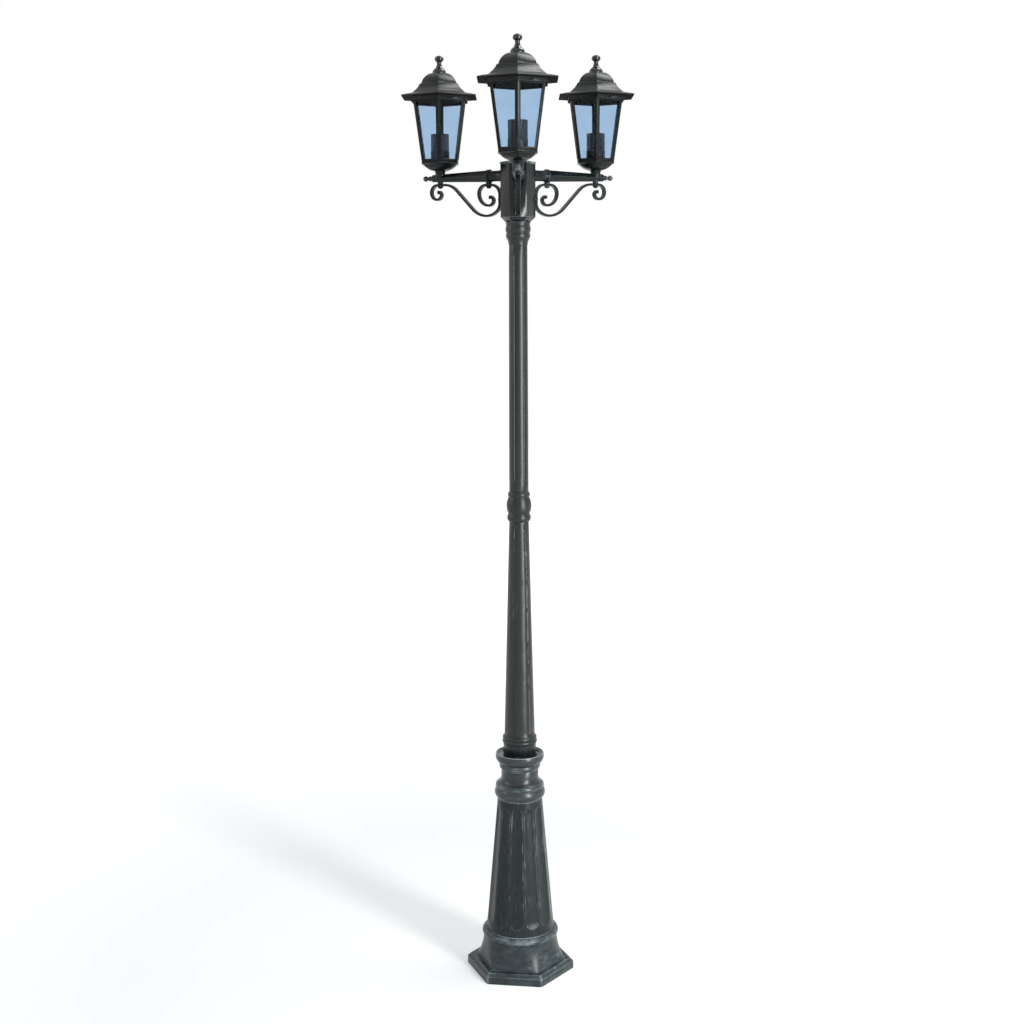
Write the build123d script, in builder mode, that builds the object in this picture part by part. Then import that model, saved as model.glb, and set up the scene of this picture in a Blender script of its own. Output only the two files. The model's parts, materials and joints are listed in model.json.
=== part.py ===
from build123d import *
import os
from math import asin, cos, degrees, radians, sin, tan

os.makedirs("parts", exist_ok=True)

# Three-arm garden lamp post with six-sided lanterns.
# Origin: centre of the anchor bolt circle on the ground. +Z up, -Y towards the front lantern.

# ---- driving dimensions, millimetres ----
# overall
total_height = 2300.0           # ground to the top of the finial balls
head_height = 293.0             # arm axis to the top of the finial balls
lantern_reach = 221.0           # post axis to lantern axis
base_clocking = -7.3            # turn of the foot and column about the post axis, degrees
sides = ("front", "right", "left")
first_arm_angle = -90.0         # direction of the front arm, degrees from +X

# fits and common walls
fit_gap = 0.3                   # radial gap of a spigot in its socket
spigot_length = 10.0            # how deep a casting drops into the one below
cast_wall = 5.0                 # wall of the column castings
screw_gap = 0.3                 # radial gap of a screw in its hole
thread_gap = 0.1                # radial gap of a thread in its nut or tapped hole

# foot
foot_corner_radius = 139.0      # ground plate, axis to corner
foot_edge_height = 19.0         # upright edge of the ground plate
foot_bevel = 8.0                # sloping rim above the edge
foot_plate_wall = 7.0
foot_corner_round = 7.0
skirt_bottom_apothem = 101.0    # six-sided skirt where it meets the plate
skirt_corner_round = 24.0
skirt_top_radius = 93.0         # round skirt under the ring
skirt_cavity_radius = 84.0
base_ring_radius = 97.5
base_ring_z = 100.0
base_ring_half_height = 9.0
foot_mouth_radius = 69.0
foot_ledge = 13.0               # thickness of the top ledge that the bridge bears on
anchor_circle_radius = 118.0
anchor_hole_radius = 4.5
anchor_boss_radius = 10.0
anchor_holes = 3

# fluted pedestal
pedestal_height = 349.0
pedestal_bottom_radius = 86.5
pedestal_top_radius = 56.5
pedestal_flutes = 12
pedestal_flute_margin = (22.0, 18.0)        # plain band under and over the flutes
pedestal_rib = 5.5              # width left between two flutes
pedestal_flute_depth = 3.2

# neck collar and cup collar
neck_collar_height = 75.0
neck_torus_bulge = 7.5          # torus beyond the top of the pedestal
neck_torus_height = 26.0
neck_bead_bulge = 5.0
neck_bead_height = 13.0
neck_waist = 9.5                # neck inside the top of the pedestal
cup_bead_bulge = 5.0            # bead and bowl beyond the neck
cup_bead_height = 14.0
cup_bulge = 14.0
cup_collar_height = 41.0
cup_lip = 2.0                   # rim above the screw face
cup_screw_inset = 11.5          # screw circle inside the bowl
cup_screws_round = 3
cup_seat_width = 5.1            # width of face under the foot of the shaft
cup_screw_radius = 2.5
cup_screw_head = 4.5            # radius of the head
cup_screw_head_height = 3.5
cup_screw_length = 11.0

# lower shaft
lower_shaft_foot_radius = 41.0
lower_shaft_ring_bulge = 3.0
lower_shaft_foot_height = 28.0  # plain foot under the ring
lower_shaft_ring_height = 21.0
lower_shaft_bottom_radius = 38.3
lower_shaft_top_radius = 24.2
lower_shaft_height = 596.0
shaft_flutes = 6
lower_flute_margin = (6.0, 14.0)
lower_flute_low_width = 17.0
flute_width = 6.0
flute_depth = 2.2

# knop and upper shaft
knop_height = 74.0
knop_ball_bulge = 6.8           # beyond the lower shaft
knop_low_ring_bulge = 5.3
knop_ring_bulge = 3.5           # beyond the upper shaft
knop_spigot_length = 30.0
upper_shaft_bottom_radius = 24.0
upper_shaft_top_radius = 22.3
upper_flute_margin = (27.0, 22.0)

# top collar and hub
top_collar_height = 55.0
collar_bead_bulge = 8.2         # beyond the upper shaft
collar_cone_height = 16.0
hub_apothem = 36.4
hub_foot_apothem = 26.5
hub_chamfer_height = 11.0
hub_height = 136.0
hub_over_arm = 26.0             # arm axis to the top of the hub
hub_floor = 8.0
hub_cap_overhang = 1.6
hub_cap_height = 6.0
hub_cap_spigot = 4.0
cable_hole_circle = 11.0
cable_hole_radius = 3.5

# tie rod through the column
rod_radius = 5.0
rod_nut_flats = 17.0
rod_nut_height = 8.0
rod_end = 6.0                   # rod standing out of each nut
bridge_length = 158.0
bridge_width = 30.0
bridge_thickness = 6.0

# arms
arm_flats_root = 27.0
arm_flats_end = 17.0
arm_root_length = 47.6          # round part of the arm, hub face to the ring
arm_overhang = 20.0             # arm end beyond the lantern axis
arm_ring_radius = 16.4
arm_ring_width = 7.0
arm_flange_radius = 18.0
arm_neck_radius = 13.0
arm_spigot_radius = 8.2
arm_spigot_length = 14.0
arm_bore_radius = 5.3
arm_nut_flats = 24.0
arm_nut_height = 5.0
arm_seat_rim = 1.5              # seat beyond the lantern stem
tip_ball_radius = 6.8
tip_length = 22.5               # arm end to the centre of the ball
tip_cone_radius = 8.0
tip_neck_radius = 4.2
tip_stud_radius = 2.5
tip_stud_length = 8.0

# scroll brackets
scroll_thickness = 5.8
scroll_width = 12.0
scroll_outer_drop = 16.5        # arm axis to the middle of the bar at each clip and at its lowest
scroll_inner_drop = 20.5
scroll_low_drop = 94.0
scroll_end_radius = 4.6
scroll_slope = 45.0             # steepest lean of the bar, degrees
shoulder_radius = 48.0
belly_radius = 58.0
rise_low_radius = 42.0
rise_high_radius = 23.0
return_radius = 24.5
hub_pad_length = 10.0           # boss on the hub that the bar is screwed to
hub_pad_radius = 6.0
hub_screw_radius = 2.0
hub_screw_head = 4.5
hub_screw_head_height = 3.0
clip_radius = 7.0
clip_margin = 0.5               # straight bar left beyond each clip
clip_nut_height = 6.0
inner_clip_setback = 2.5        # clip from the root of the arm, towards the hub
clip_bolt_radius = 3.0
clip_bolt_bite = 7.0            # bolt length inside the arm
tip_clearance = 0.5             # depth left in the hole beyond the bolt
outer_curl_radii = (18.0, 17.0, 12.0, 5.5)
inner_curl_radii = (20.0, 29.0, 12.5, 7.0)

# lantern base
stem_rise = 10.5                # arm axis to the seat of the lantern stem
stem_radius = 11.5
stem_top_radius = 14.4
stem_height = 7.0
cage_rise = 37.0                # arm axis to the bottom of the cage
cage_bottom_apothem = 43.8
pan_rim = 0.7                   # pan beyond the foot of the cage
pan_rim_height = 3.0
pan_depth = 6.0                 # pan floor under the cage
nipple_radius = 5.0
nipple_bore = 3.0
nipple_nut_flats = 14.0
nipple_nut_height = 4.0

# lantern cage and panes
cage_height = 154.0
cage_top_apothem = 63.5
cage_wall = 3.0
cage_bar = 7.5                  # flange of a corner bar, measured along the side
cage_bottom_rail = 8.0
cage_top_rail = 12.0
cage_floor = 4.0
cage_floor_hole = 32.0
pane_thickness = 3.0
pane_mitre = 0.8                # gap between neighbouring panes at a corner

# lampholder
holder_radius = 22.5
holder_base_height = 33.0
holder_skirt_height = 42.0
holder_ridges = 6
holder_ridge_depth = 1.2
holder_chamber_radius = 10.0    # wiring space round the nipple
holder_wire_hole = 1.5          # radius
holder_wire_spacing = 7.5       # lampholder axis to each wire hole
holder_cap = 8.0                # thickness between the wiring space and the lamp
lamp_bore_radius = 13.3
lamp_shell_wall = 1.0
lamp_shell_length = 32.0
contact_radius = 4.0
contact_height = 7.4
contact_round = 1.5
skirt_ledge = 8.0               # height of the ledge that the shell stands on

# roof and finial
eave_apothem = 90.0
eave_edge = 3.0
eave_rise = 1.5                 # cage top to the underside of the eave
roof_wall = 3.0
roof_collar_drop = 8.0
roof_collar_gap = 0.8
roof_slope_apothem = 73.0       # top of the shallow slope above the eave
roof_slope_rise = 7.5           # these rises are measured from the underside of the eave
roof_cove_apothem = 59.0        # foot of the lower tier
roof_cove_rise = 14.5
roof_tier_apothem = 46.5
roof_tier_rise = 31.0
roof_dome_apothem = 42.0
roof_top_apothem = 21.0
roof_top_rise = 57.5
roof_throat_apothem = 58.5      # opening inside the step that rests on the cage
roof_screw_radius = 2.0
roof_screw_head = 3.6
roof_screw_head_height = 3.0
roof_screw_drop = 4.0           # below the cage top
roof_screws_round = 3

# finial
finial_ball_radius = 11.0
finial_cup_radius = 17.0
finial_neck_radius = 6.3
finial_stud_radius = 3.0
finial_nut_flats = 12.0
finial_nut_height = 4.0


# ---- helpers ----
def save(part, name):
    part.label = name
    export_step(part, f"parts/{name}.step")


def six_sided(prism):
    """Six-sided form left when a double-sided prism along X is crossed with itself at 60 and 120 degrees."""
    with BuildPart() as form:
        add(prism)
        for turn in (60, 120):
            add(prism, rotation=(0, 0, turn), mode=Mode.INTERSECT)
    return form.part


def hex_prism(outline_maker):
    """Prism along X whose half section, apothem against height, is drawn by outline_maker."""
    with BuildPart() as prism:
        with BuildSketch(Plane.YZ):
            with BuildLine():
                outline_maker()
            make_face()
            mirror(about=Plane.YZ)
        extrude(amount=2 * eave_apothem, both=True)
    return prism.part


def flute_cutter(low, high):
    """Round-ended cutter along a cone. Each end is (cone radius, height, flute width, flute depth)."""
    radii = []
    centres = []
    for cone_radius, height, width, depth in (low, high):
        radius = (width * width / 4 + depth * depth) / (2 * depth)
        radii.append(radius)
        centres.append(Vector(cone_radius + radius - depth, 0, height))
    run = centres[1] - centres[0]
    lean = 90 + degrees(asin((radii[1] - radii[0]) / run.length))
    along = Plane(origin=centres[0], x_dir=run, z_dir=(0, 1, 0))
    with BuildPart() as cutter:
        with BuildSketch(along):
            with BuildLine():
                low_end = CenterArc((0, 0), radii[0], 180, lean - 180)
                high_end = CenterArc((run.length, 0), radii[1], lean, -lean)
                Line(low_end @ 1, high_end @ 0)
                Line(low_end @ 0, high_end @ 1)
            make_face()
        revolve(axis=Axis(centres[0], run))
    return cutter.part


def flute(cutter, count, first_angle):
    """Cuts the flutes of a column piece all round."""
    with PolarLocations(0, count, start_angle=first_angle):
        add(cutter, mode=Mode.SUBTRACT)


def pan_outline():
    """Half section of the lantern pan, a shallow bowl from stem to rim."""
    neck = Line((0, pan_neck_z), (stem_top_radius + 0.3, pan_neck_z))
    sweep_out = ThreePointArc(neck @ 1, (0.7 * cage_bottom_apothem, cage_bottom_z - 13),
                              (cage_bottom_apothem - 3, cage_bottom_z - 4.5))
    Polyline(sweep_out @ 1, (cage_bottom_apothem + pan_rim, cage_bottom_z - pan_rim_height),
             (cage_bottom_apothem + pan_rim, cage_bottom_z), (0, cage_bottom_z), (0, pan_neck_z))


def cone_radius_at(z, low_z, low_radius, high_z, high_radius):
    return low_radius + (high_radius - low_radius) * (z - low_z) / (high_z - low_z)


def bore(radius, low_z, high_z):
    """Upright hole on the axis."""
    with Locations((0, 0, low_z)):
        Cylinder(radius, high_z - low_z, align=(Align.CENTER, Align.CENTER, Align.MIN), mode=Mode.SUBTRACT)


def rounded_hexagon(plane, apothem, corner_round):
    with BuildSketch(plane) as outline:
        RegularPolygon(apothem, 6, major_radius=False)
        fillet(outline.vertices(), corner_round)
    return outline.sketch


def on_arms(reach=0.0):
    """Places and names of the three sides, at a distance from the post axis."""
    spots = PolarLocations(reach, len(sides), start_angle=first_arm_angle).locations
    return list(zip(spots, sides))


def one_a_side(part, reach=0.0):
    """A fastener repeated on each of the three sides, as a group of solids."""
    with BuildPart() as group:
        with PolarLocations(reach, len(sides), start_angle=first_arm_angle):
            add(part)
    return group.part


def side_face(spot, z):
    """Upright plane at height z that faces outwards along the arm at this spot."""
    return Plane(spot * Location((0, 0, z), (0, 90, 0)))


foot_turn = Plane.XY.rotated((0, 0, base_clocking))
shaft_clocking = base_clocking + 180 / pedestal_flutes      # shaft grooves stand over pedestal ribs

# ---- levels: the column is stacked up from the ground, the head hangs from the total height ----
foot_top_z = base_ring_z + base_ring_half_height
pedestal_top_z = foot_top_z + pedestal_height
neck_collar_top_z = pedestal_top_z + neck_collar_height
cup_rim_z = neck_collar_top_z + cup_collar_height
cup_face_z = cup_rim_z - cup_lip
lower_shaft_top_z = cup_face_z + lower_shaft_height
knop_top_z = lower_shaft_top_z + knop_height
arm_axis_z = total_height - head_height
hub_top_z = arm_axis_z + hub_over_arm
hub_bottom_z = hub_top_z - hub_height
upper_shaft_top_z = hub_bottom_z - top_collar_height
scroll_outer_crest_z = arm_axis_z - scroll_outer_drop
scroll_inner_crest_z = arm_axis_z - scroll_inner_drop
scroll_low_z = arm_axis_z - scroll_low_drop
stem_seat_z = arm_axis_z + stem_rise
pan_neck_z = stem_seat_z + stem_height
cage_bottom_z = arm_axis_z + cage_rise
pan_floor_z = cage_bottom_z - pan_depth
cage_top_z = cage_bottom_z + cage_height
holder_split_z = pan_floor_z + holder_base_height
holder_top_z = holder_split_z + holder_skirt_height
eave_under_z = cage_top_z + eave_rise
roof_slope_z = eave_under_z + roof_slope_rise
roof_cove_z = eave_under_z + roof_cove_rise
roof_tier_z = eave_under_z + roof_tier_rise
roof_top_z = eave_under_z + roof_top_rise
roof_screw_z = cage_top_z - roof_screw_drop
arm_root_u = hub_apothem + arm_root_length      # distances u run outwards from the post axis
arm_end_u = lantern_reach + arm_overhang
tip_ball_u = arm_end_u + tip_length
inner_clip_u = arm_root_u - inner_clip_setback

# ---- course of a scroll: places where its tangent arcs and straight runs meet ----
slope_sin = sin(radians(scroll_slope))
slope_rise = 1 - cos(radians(scroll_slope))
wall_u = hub_apothem + hub_pad_length + scroll_thickness / 2
belly_u = wall_u + rise_low_radius * slope_sin + rise_high_radius * (1 - slope_sin)
slant_drop = scroll_outer_crest_z - scroll_low_z - (shoulder_radius + belly_radius) * slope_rise
slant_length = slant_drop / slope_sin
shoulder_u = belly_u + (shoulder_radius + belly_radius) * slope_sin + slant_length * cos(radians(scroll_slope))
wall_low_z = scroll_low_z + rise_low_radius * slope_rise + rise_high_radius * cos(radians(scroll_slope))
wall_run = scroll_inner_crest_z - return_radius - wall_low_z
hub_pad_z = wall_low_z + wall_run / 2

# ---- foot: six-sided ground plate, skirt and base ring in one casting, open below ----
plate_top_z = foot_edge_height + foot_bevel
foot_apothem = foot_corner_radius * cos(radians(30))
rim_apothem = foot_apothem - foot_bevel
ledge_low_z = foot_top_z - foot_ledge
skirt_top_z = base_ring_z - base_ring_half_height / 2
skirt_waist_z = (plate_top_z + skirt_top_z) / 2
with BuildPart() as foot:
    extrude(rounded_hexagon(foot_turn, foot_apothem, foot_corner_round), amount=foot_edge_height)
    loft([rounded_hexagon(foot_turn.offset(foot_edge_height), foot_apothem, foot_corner_round),
          rounded_hexagon(foot_turn.offset(plate_top_z), rim_apothem, foot_corner_round)])
    loft([rounded_hexagon(foot_turn.offset(plate_top_z), skirt_bottom_apothem, skirt_corner_round),
          rounded_hexagon(foot_turn.offset(skirt_waist_z), skirt_top_radius + 2, 0.8 * skirt_top_radius),
          rounded_hexagon(foot_turn.offset(skirt_top_z), skirt_top_radius, 0.97 * skirt_top_radius)])
    with BuildSketch(Plane.XZ):
        with Locations((0, base_ring_z)):
            Rectangle(base_ring_radius - base_ring_half_height, 2 * base_ring_half_height,
                      align=(Align.MIN, Align.CENTER))
        with Locations((base_ring_radius - base_ring_half_height, base_ring_z)):
            Circle(base_ring_half_height)
    revolve(axis=Axis.Z)
    with BuildSketch(foot_turn):
        RegularPolygon(foot_apothem - foot_plate_wall, 6, major_radius=False)
    with BuildSketch(foot_turn.offset(plate_top_z - foot_plate_wall)):
        RegularPolygon(rim_apothem - foot_plate_wall, 6, major_radius=False)
    loft(mode=Mode.SUBTRACT)
    bore(skirt_cavity_radius, 0, ledge_low_z)
    bore(foot_mouth_radius, ledge_low_z, foot_top_z)
    with BuildSketch(foot_turn):
        with PolarLocations(anchor_circle_radius, anchor_holes):
            Circle(anchor_boss_radius)
    extrude(amount=plate_top_z - foot_plate_wall + 1)
    with BuildSketch(foot_turn):
        with PolarLocations(anchor_circle_radius, anchor_holes):
            Circle(anchor_hole_radius)
    extrude(amount=foot_top_z, mode=Mode.SUBTRACT)
save(foot.part, "foot")

# ---- foot bridge: steel bar under the ledge that the tie rod pulls against ----
with BuildPart() as foot_bridge:
    with BuildSketch(foot_turn.offset(ledge_low_z - bridge_thickness)):
        SlotOverall(bridge_length, bridge_width)
        Circle(rod_radius + screw_gap, mode=Mode.SUBTRACT)
    extrude(amount=bridge_thickness)
save(foot_bridge.part, "foot_bridge")

# ---- pedestal: tapered fluted casting ----
pedestal_taper = (foot_top_z, pedestal_bottom_radius, pedestal_top_z, pedestal_top_radius)


def pedestal_flute_end(z, inwards):
    """Cone radius, height, width and depth at a flute end whose arch stops at height z."""
    radius = cone_radius_at(z, *pedestal_taper)
    width = 2 * radius * sin(radians(180 / pedestal_flutes)) - pedestal_rib
    centre_z = z + inwards * width / 2
    return radius, centre_z, width, pedestal_flute_depth


with BuildPart() as pedestal:
    with BuildSketch(Plane.XZ):
        with BuildLine():
            Polyline((foot_mouth_radius - fit_gap, foot_top_z - spigot_length),
                     (foot_mouth_radius - fit_gap, foot_top_z),
                     (pedestal_bottom_radius, foot_top_z),
                     (pedestal_top_radius, pedestal_top_z),
                     (pedestal_top_radius - 2 * cast_wall, pedestal_top_z),
                     (foot_mouth_radius - fit_gap - cast_wall, foot_top_z - spigot_length),
                     close=True)
        make_face()
    revolve(axis=Axis.Z)
    flute(flute_cutter(pedestal_flute_end(foot_top_z + pedestal_flute_margin[0], 1),
                       pedestal_flute_end(pedestal_top_z - pedestal_flute_margin[1], -1)),
          pedestal_flutes, base_clocking)
save(pedestal.part, "pedestal")

# ---- neck collar: torus, bead and hollow neck above the pedestal ----
neck_spigot = pedestal_top_radius - 2 * cast_wall - fit_gap
neck_bore = neck_spigot - cast_wall
neck_radius = pedestal_top_radius - neck_waist
neck_bead_radius = pedestal_top_radius + neck_bead_bulge
torus_top_z = pedestal_top_z + neck_torus_height
bead_top_z = torus_top_z + neck_bead_height
with BuildPart() as neck_collar:
    with BuildSketch(Plane.XZ):
        with BuildLine():
            spigot = Polyline((neck_bore, pedestal_top_z - spigot_length),
                              (neck_spigot, pedestal_top_z - spigot_length), (neck_spigot, pedestal_top_z),
                              (pedestal_top_radius + 1, pedestal_top_z))
            torus = ThreePointArc(spigot @ 1, (pedestal_top_radius + neck_torus_bulge, pedestal_top_z + neck_torus_height / 2),
                                  (neck_bead_radius - 2, torus_top_z))
            bead = ThreePointArc(torus @ 1, (neck_bead_radius, torus_top_z + neck_bead_height / 2),
                                 (neck_bead_radius - 4, bead_top_z))
            flare_top = (neck_radius, bead_top_z + 17)
            flare = TangentArc(flare_top, bead @ 1, tangent=(0, -1), tangent_from_first=True)
            Polyline(flare_top, (neck_radius, neck_collar_top_z), (neck_bore, neck_collar_top_z), spigot @ 0)
        make_face()
    revolve(axis=Axis.Z)
save(neck_collar.part, "neck_collar")

# ---- cup collar: bead, bowl and the face that the shaft stands on ----
cup_bead_top_z = neck_collar_top_z + cup_bead_height
cup_spigot = neck_bore - fit_gap
cup_bore = lower_shaft_foot_radius - cup_seat_width
cup_radius = neck_radius + cup_bulge
cup_bead_radius = neck_radius + cup_bead_bulge
cup_screw_circle = cup_radius - cup_screw_inset
with BuildPart() as cup_collar:
    with BuildSketch(Plane.XZ):
        with BuildLine():
            spigot = Polyline((cup_bore, neck_collar_top_z - spigot_length),
                              (cup_spigot, neck_collar_top_z - spigot_length), (cup_spigot, neck_collar_top_z),
                              (neck_radius + 1, neck_collar_top_z))
            bead = ThreePointArc(spigot @ 1, (cup_bead_radius, neck_collar_top_z + cup_bead_height / 2),
                                 (cup_bead_radius - 2, cup_bead_top_z))
            bowl = ThreePointArc(bead @ 1, (cup_radius, cup_bead_top_z + 15), (cup_radius - 1, cup_rim_z))
            Polyline(bowl @ 1, (cup_radius - 3, cup_rim_z), (cup_radius - 4, cup_face_z),
                     (cup_bore, cup_face_z), spigot @ 0)
        make_face()
    revolve(axis=Axis.Z)
    with BuildSketch(foot_turn.offset(cup_face_z)):
        with PolarLocations(cup_screw_circle, cup_screws_round, start_angle=-90):
            Circle(cup_screw_radius + screw_gap)
    extrude(amount=-cup_screw_length - 1, mode=Mode.SUBTRACT)
save(cup_collar.part, "cup_collar")

# ---- cup screws: three pan-head screws on the cup face ----
with BuildPart() as cup_screws:
    with BuildSketch(foot_turn.offset(cup_face_z)):
        with PolarLocations(cup_screw_circle, cup_screws_round, start_angle=-90):
            Circle(cup_screw_head)
    extrude(amount=cup_screw_head_height)
    with BuildSketch(foot_turn.offset(cup_face_z)):
        with PolarLocations(cup_screw_circle, cup_screws_round, start_angle=-90):
            Circle(cup_screw_radius)
    extrude(amount=-cup_screw_length)
save(cup_screws.part, "cup_screws")

# ---- lower shaft: ringed foot and long tapered tube ----
lower_shaft_ring_z = cup_face_z + lower_shaft_foot_height
lower_ring_top_z = lower_shaft_ring_z + lower_shaft_ring_height
lower_flute_low_z = lower_ring_top_z + lower_flute_margin[0]
lower_flute_high_z = lower_shaft_top_z - lower_flute_margin[1]
lower_shaft_ring_radius = lower_shaft_foot_radius + lower_shaft_ring_bulge
lower_taper = (lower_ring_top_z, lower_shaft_bottom_radius, lower_shaft_top_z, lower_shaft_top_radius)
with BuildPart() as lower_shaft:
    with BuildSketch(Plane.XZ):
        with BuildLine():
            half_ring = lower_shaft_ring_height / 2
            step = Polyline((lower_shaft_foot_radius, cup_face_z), (lower_shaft_foot_radius, lower_shaft_ring_z))
            low_bead = ThreePointArc(step @ 1, (lower_shaft_ring_radius, lower_shaft_ring_z + half_ring / 2),
                                     (lower_shaft_foot_radius + 0.5, lower_shaft_ring_z + half_ring))
            high_bead = ThreePointArc(low_bead @ 1,
                                      (lower_shaft_ring_radius - 1, lower_shaft_ring_z + 1.5 * half_ring),
                                      (lower_shaft_bottom_radius, lower_ring_top_z))
            Polyline(high_bead @ 1, (lower_shaft_top_radius, lower_shaft_top_z),
                     (lower_shaft_top_radius - cast_wall, lower_shaft_top_z),
                     (lower_shaft_top_radius - cast_wall, lower_shaft_top_z - knop_spigot_length - 1),
                     (lower_shaft_bottom_radius - cast_wall, lower_ring_top_z),
                     (lower_shaft_bottom_radius - cast_wall, cup_face_z), step @ 0)
        make_face()
    revolve(axis=Axis.Z)
    flute(flute_cutter((cone_radius_at(lower_flute_low_z, *lower_taper), lower_flute_low_z + 8,
                        lower_flute_low_width, flute_depth),
                       (cone_radius_at(lower_flute_high_z, *lower_taper), lower_flute_high_z - 3,
                        flute_width, flute_depth)), shaft_flutes, shaft_clocking)
save(lower_shaft.part, "lower_shaft")

# ---- knop: turned ball coupling with a spigot each way ----
knop_low_ring_radius = lower_shaft_top_radius + knop_low_ring_bulge
knop_ball_radius = lower_shaft_top_radius + knop_ball_bulge
knop_ring_radius = upper_shaft_bottom_radius + knop_ring_bulge
knop_low_spigot = lower_shaft_top_radius - cast_wall - fit_gap
knop_high_spigot = upper_shaft_bottom_radius - cast_wall - fit_gap
knop_bore = knop_high_spigot - cast_wall
knop_ball_z = lower_shaft_top_z + 40
with BuildPart() as knop:
    with BuildSketch(Plane.XZ):
        with BuildLine():
            low = Polyline((knop_bore, lower_shaft_top_z - knop_spigot_length),
                           (knop_low_spigot, lower_shaft_top_z - knop_spigot_length),
                           (knop_low_spigot, lower_shaft_top_z),
                           (lower_shaft_top_radius + 1.5, lower_shaft_top_z),
                           (knop_low_ring_radius - 1, lower_shaft_top_z + 4))
            low_ring = ThreePointArc(low @ 1, (knop_low_ring_radius, lower_shaft_top_z + 10),
                                     (knop_low_ring_radius - 2, lower_shaft_top_z + 17))
            ball = ThreePointArc(low_ring @ 1 - Vector(1, -2), (knop_ball_radius, knop_ball_z),
                                 (knop_ring_radius - 2, knop_top_z - 13))
            Line(low_ring @ 1, ball @ 0)
            high_ring = ThreePointArc(ball @ 1, (knop_ring_radius, knop_top_z - 8),
                                      (knop_ring_radius - 1, knop_top_z - 3))
            Polyline(high_ring @ 1, (upper_shaft_bottom_radius + 1, knop_top_z), (knop_high_spigot, knop_top_z),
                     (knop_high_spigot, knop_top_z + knop_spigot_length),
                     (knop_bore, knop_top_z + knop_spigot_length), low @ 0)
        make_face()
    revolve(axis=Axis.Z)
save(knop.part, "knop")

# ---- upper shaft: slim fluted tube ----
upper_flute_low_z = knop_top_z + upper_flute_margin[0]
upper_flute_high_z = upper_shaft_top_z - upper_flute_margin[1]
upper_taper = (knop_top_z, upper_shaft_bottom_radius, upper_shaft_top_z, upper_shaft_top_radius)
with BuildPart() as upper_shaft:
    with BuildSketch(Plane.XZ):
        with BuildLine():
            Polyline((upper_shaft_bottom_radius, knop_top_z), (upper_shaft_top_radius, upper_shaft_top_z),
                     (upper_shaft_top_radius - cast_wall, upper_shaft_top_z),
                     (upper_shaft_top_radius - cast_wall, knop_top_z + knop_spigot_length + 20),
                     (upper_shaft_bottom_radius - cast_wall, knop_top_z + knop_spigot_length + 2),
                     (upper_shaft_bottom_radius - cast_wall, knop_top_z), close=True)
        make_face()
    revolve(axis=Axis.Z)
    flute(flute_cutter((cone_radius_at(upper_flute_low_z, *upper_taper), upper_flute_low_z + 3,
                        flute_width, flute_depth),
                       (cone_radius_at(upper_flute_high_z, *upper_taper), upper_flute_high_z - 3,
                        flute_width, flute_depth)), shaft_flutes, shaft_clocking)
save(upper_shaft.part, "upper_shaft")

# ---- top collar: cone and two beads under the hub ----
collar_bead_radius = upper_shaft_top_radius + collar_bead_bulge
collar_spigot = upper_shaft_top_radius - cast_wall - fit_gap
collar_bore = collar_spigot - 4
collar_cone_top_z = upper_shaft_top_z + collar_cone_height
with BuildPart() as top_collar:
    with BuildSketch(Plane.XZ):
        with BuildLine():
            low = Polyline((collar_bore, upper_shaft_top_z - 2 * spigot_length),
                           (collar_spigot, upper_shaft_top_z - 2 * spigot_length),
                           (collar_spigot, upper_shaft_top_z), (upper_shaft_top_radius + 0.7, upper_shaft_top_z))
            cone = ThreePointArc(low @ 1, (upper_shaft_top_radius + 2.2, upper_shaft_top_z + 9),
                                 (collar_bead_radius - 2.5, collar_cone_top_z))
            low_bead = ThreePointArc(cone @ 1, (collar_bead_radius - 1, collar_cone_top_z + 6),
                                     (collar_bead_radius - 2.5, collar_cone_top_z + 12))
            high_bead = ThreePointArc(low_bead @ 1, (collar_bead_radius, collar_cone_top_z + 21),
                                      (collar_bead_radius - 2, collar_cone_top_z + 30))
            Polyline(high_bead @ 1, (collar_bead_radius - 0.5, hub_bottom_z), (collar_bore, hub_bottom_z), low @ 0)
        make_face()
    revolve(axis=Axis.Z)
save(top_collar.part, "top_collar")

# ---- hub: six-sided hollow casting that carries the arms ----
hub_floor_z = hub_bottom_z + hub_chamfer_height + hub_floor


def hub_outline():
    Polyline((0, hub_bottom_z), (hub_foot_apothem, hub_bottom_z),
             (hub_apothem, hub_bottom_z + hub_chamfer_height), (hub_apothem, hub_top_z), (0, hub_top_z),
             close=True)


with BuildPart() as hub:
    add(six_sided(hex_prism(hub_outline)))
    with BuildSketch(Plane.XY.offset(hub_floor_z)):
        RegularPolygon(hub_apothem - cast_wall, 6, major_radius=False)
    extrude(amount=hub_top_z - hub_floor_z, mode=Mode.SUBTRACT)
    bore(rod_radius + screw_gap, hub_bottom_z, hub_floor_z)
    with BuildSketch(Plane.XY.offset(hub_bottom_z)):
        with PolarLocations(cable_hole_circle, 2):
            Circle(cable_hole_radius)
    extrude(amount=hub_floor_z - hub_bottom_z, mode=Mode.SUBTRACT)
    for spot, side in on_arms(hub_apothem - cast_wall):
        with BuildSketch(side_face(spot, hub_pad_z)):
            Circle(hub_pad_radius)
        extrude(amount=cast_wall + hub_pad_length)
        with BuildSketch(side_face(spot, hub_pad_z)):
            Circle(hub_screw_radius + screw_gap)
        extrude(amount=cast_wall + hub_pad_length, mode=Mode.SUBTRACT)
        with BuildSketch(side_face(spot, arm_axis_z)):
            Circle(arm_spigot_radius + fit_gap)
        extrude(amount=cast_wall, mode=Mode.SUBTRACT)
save(hub.part, "hub")

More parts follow.
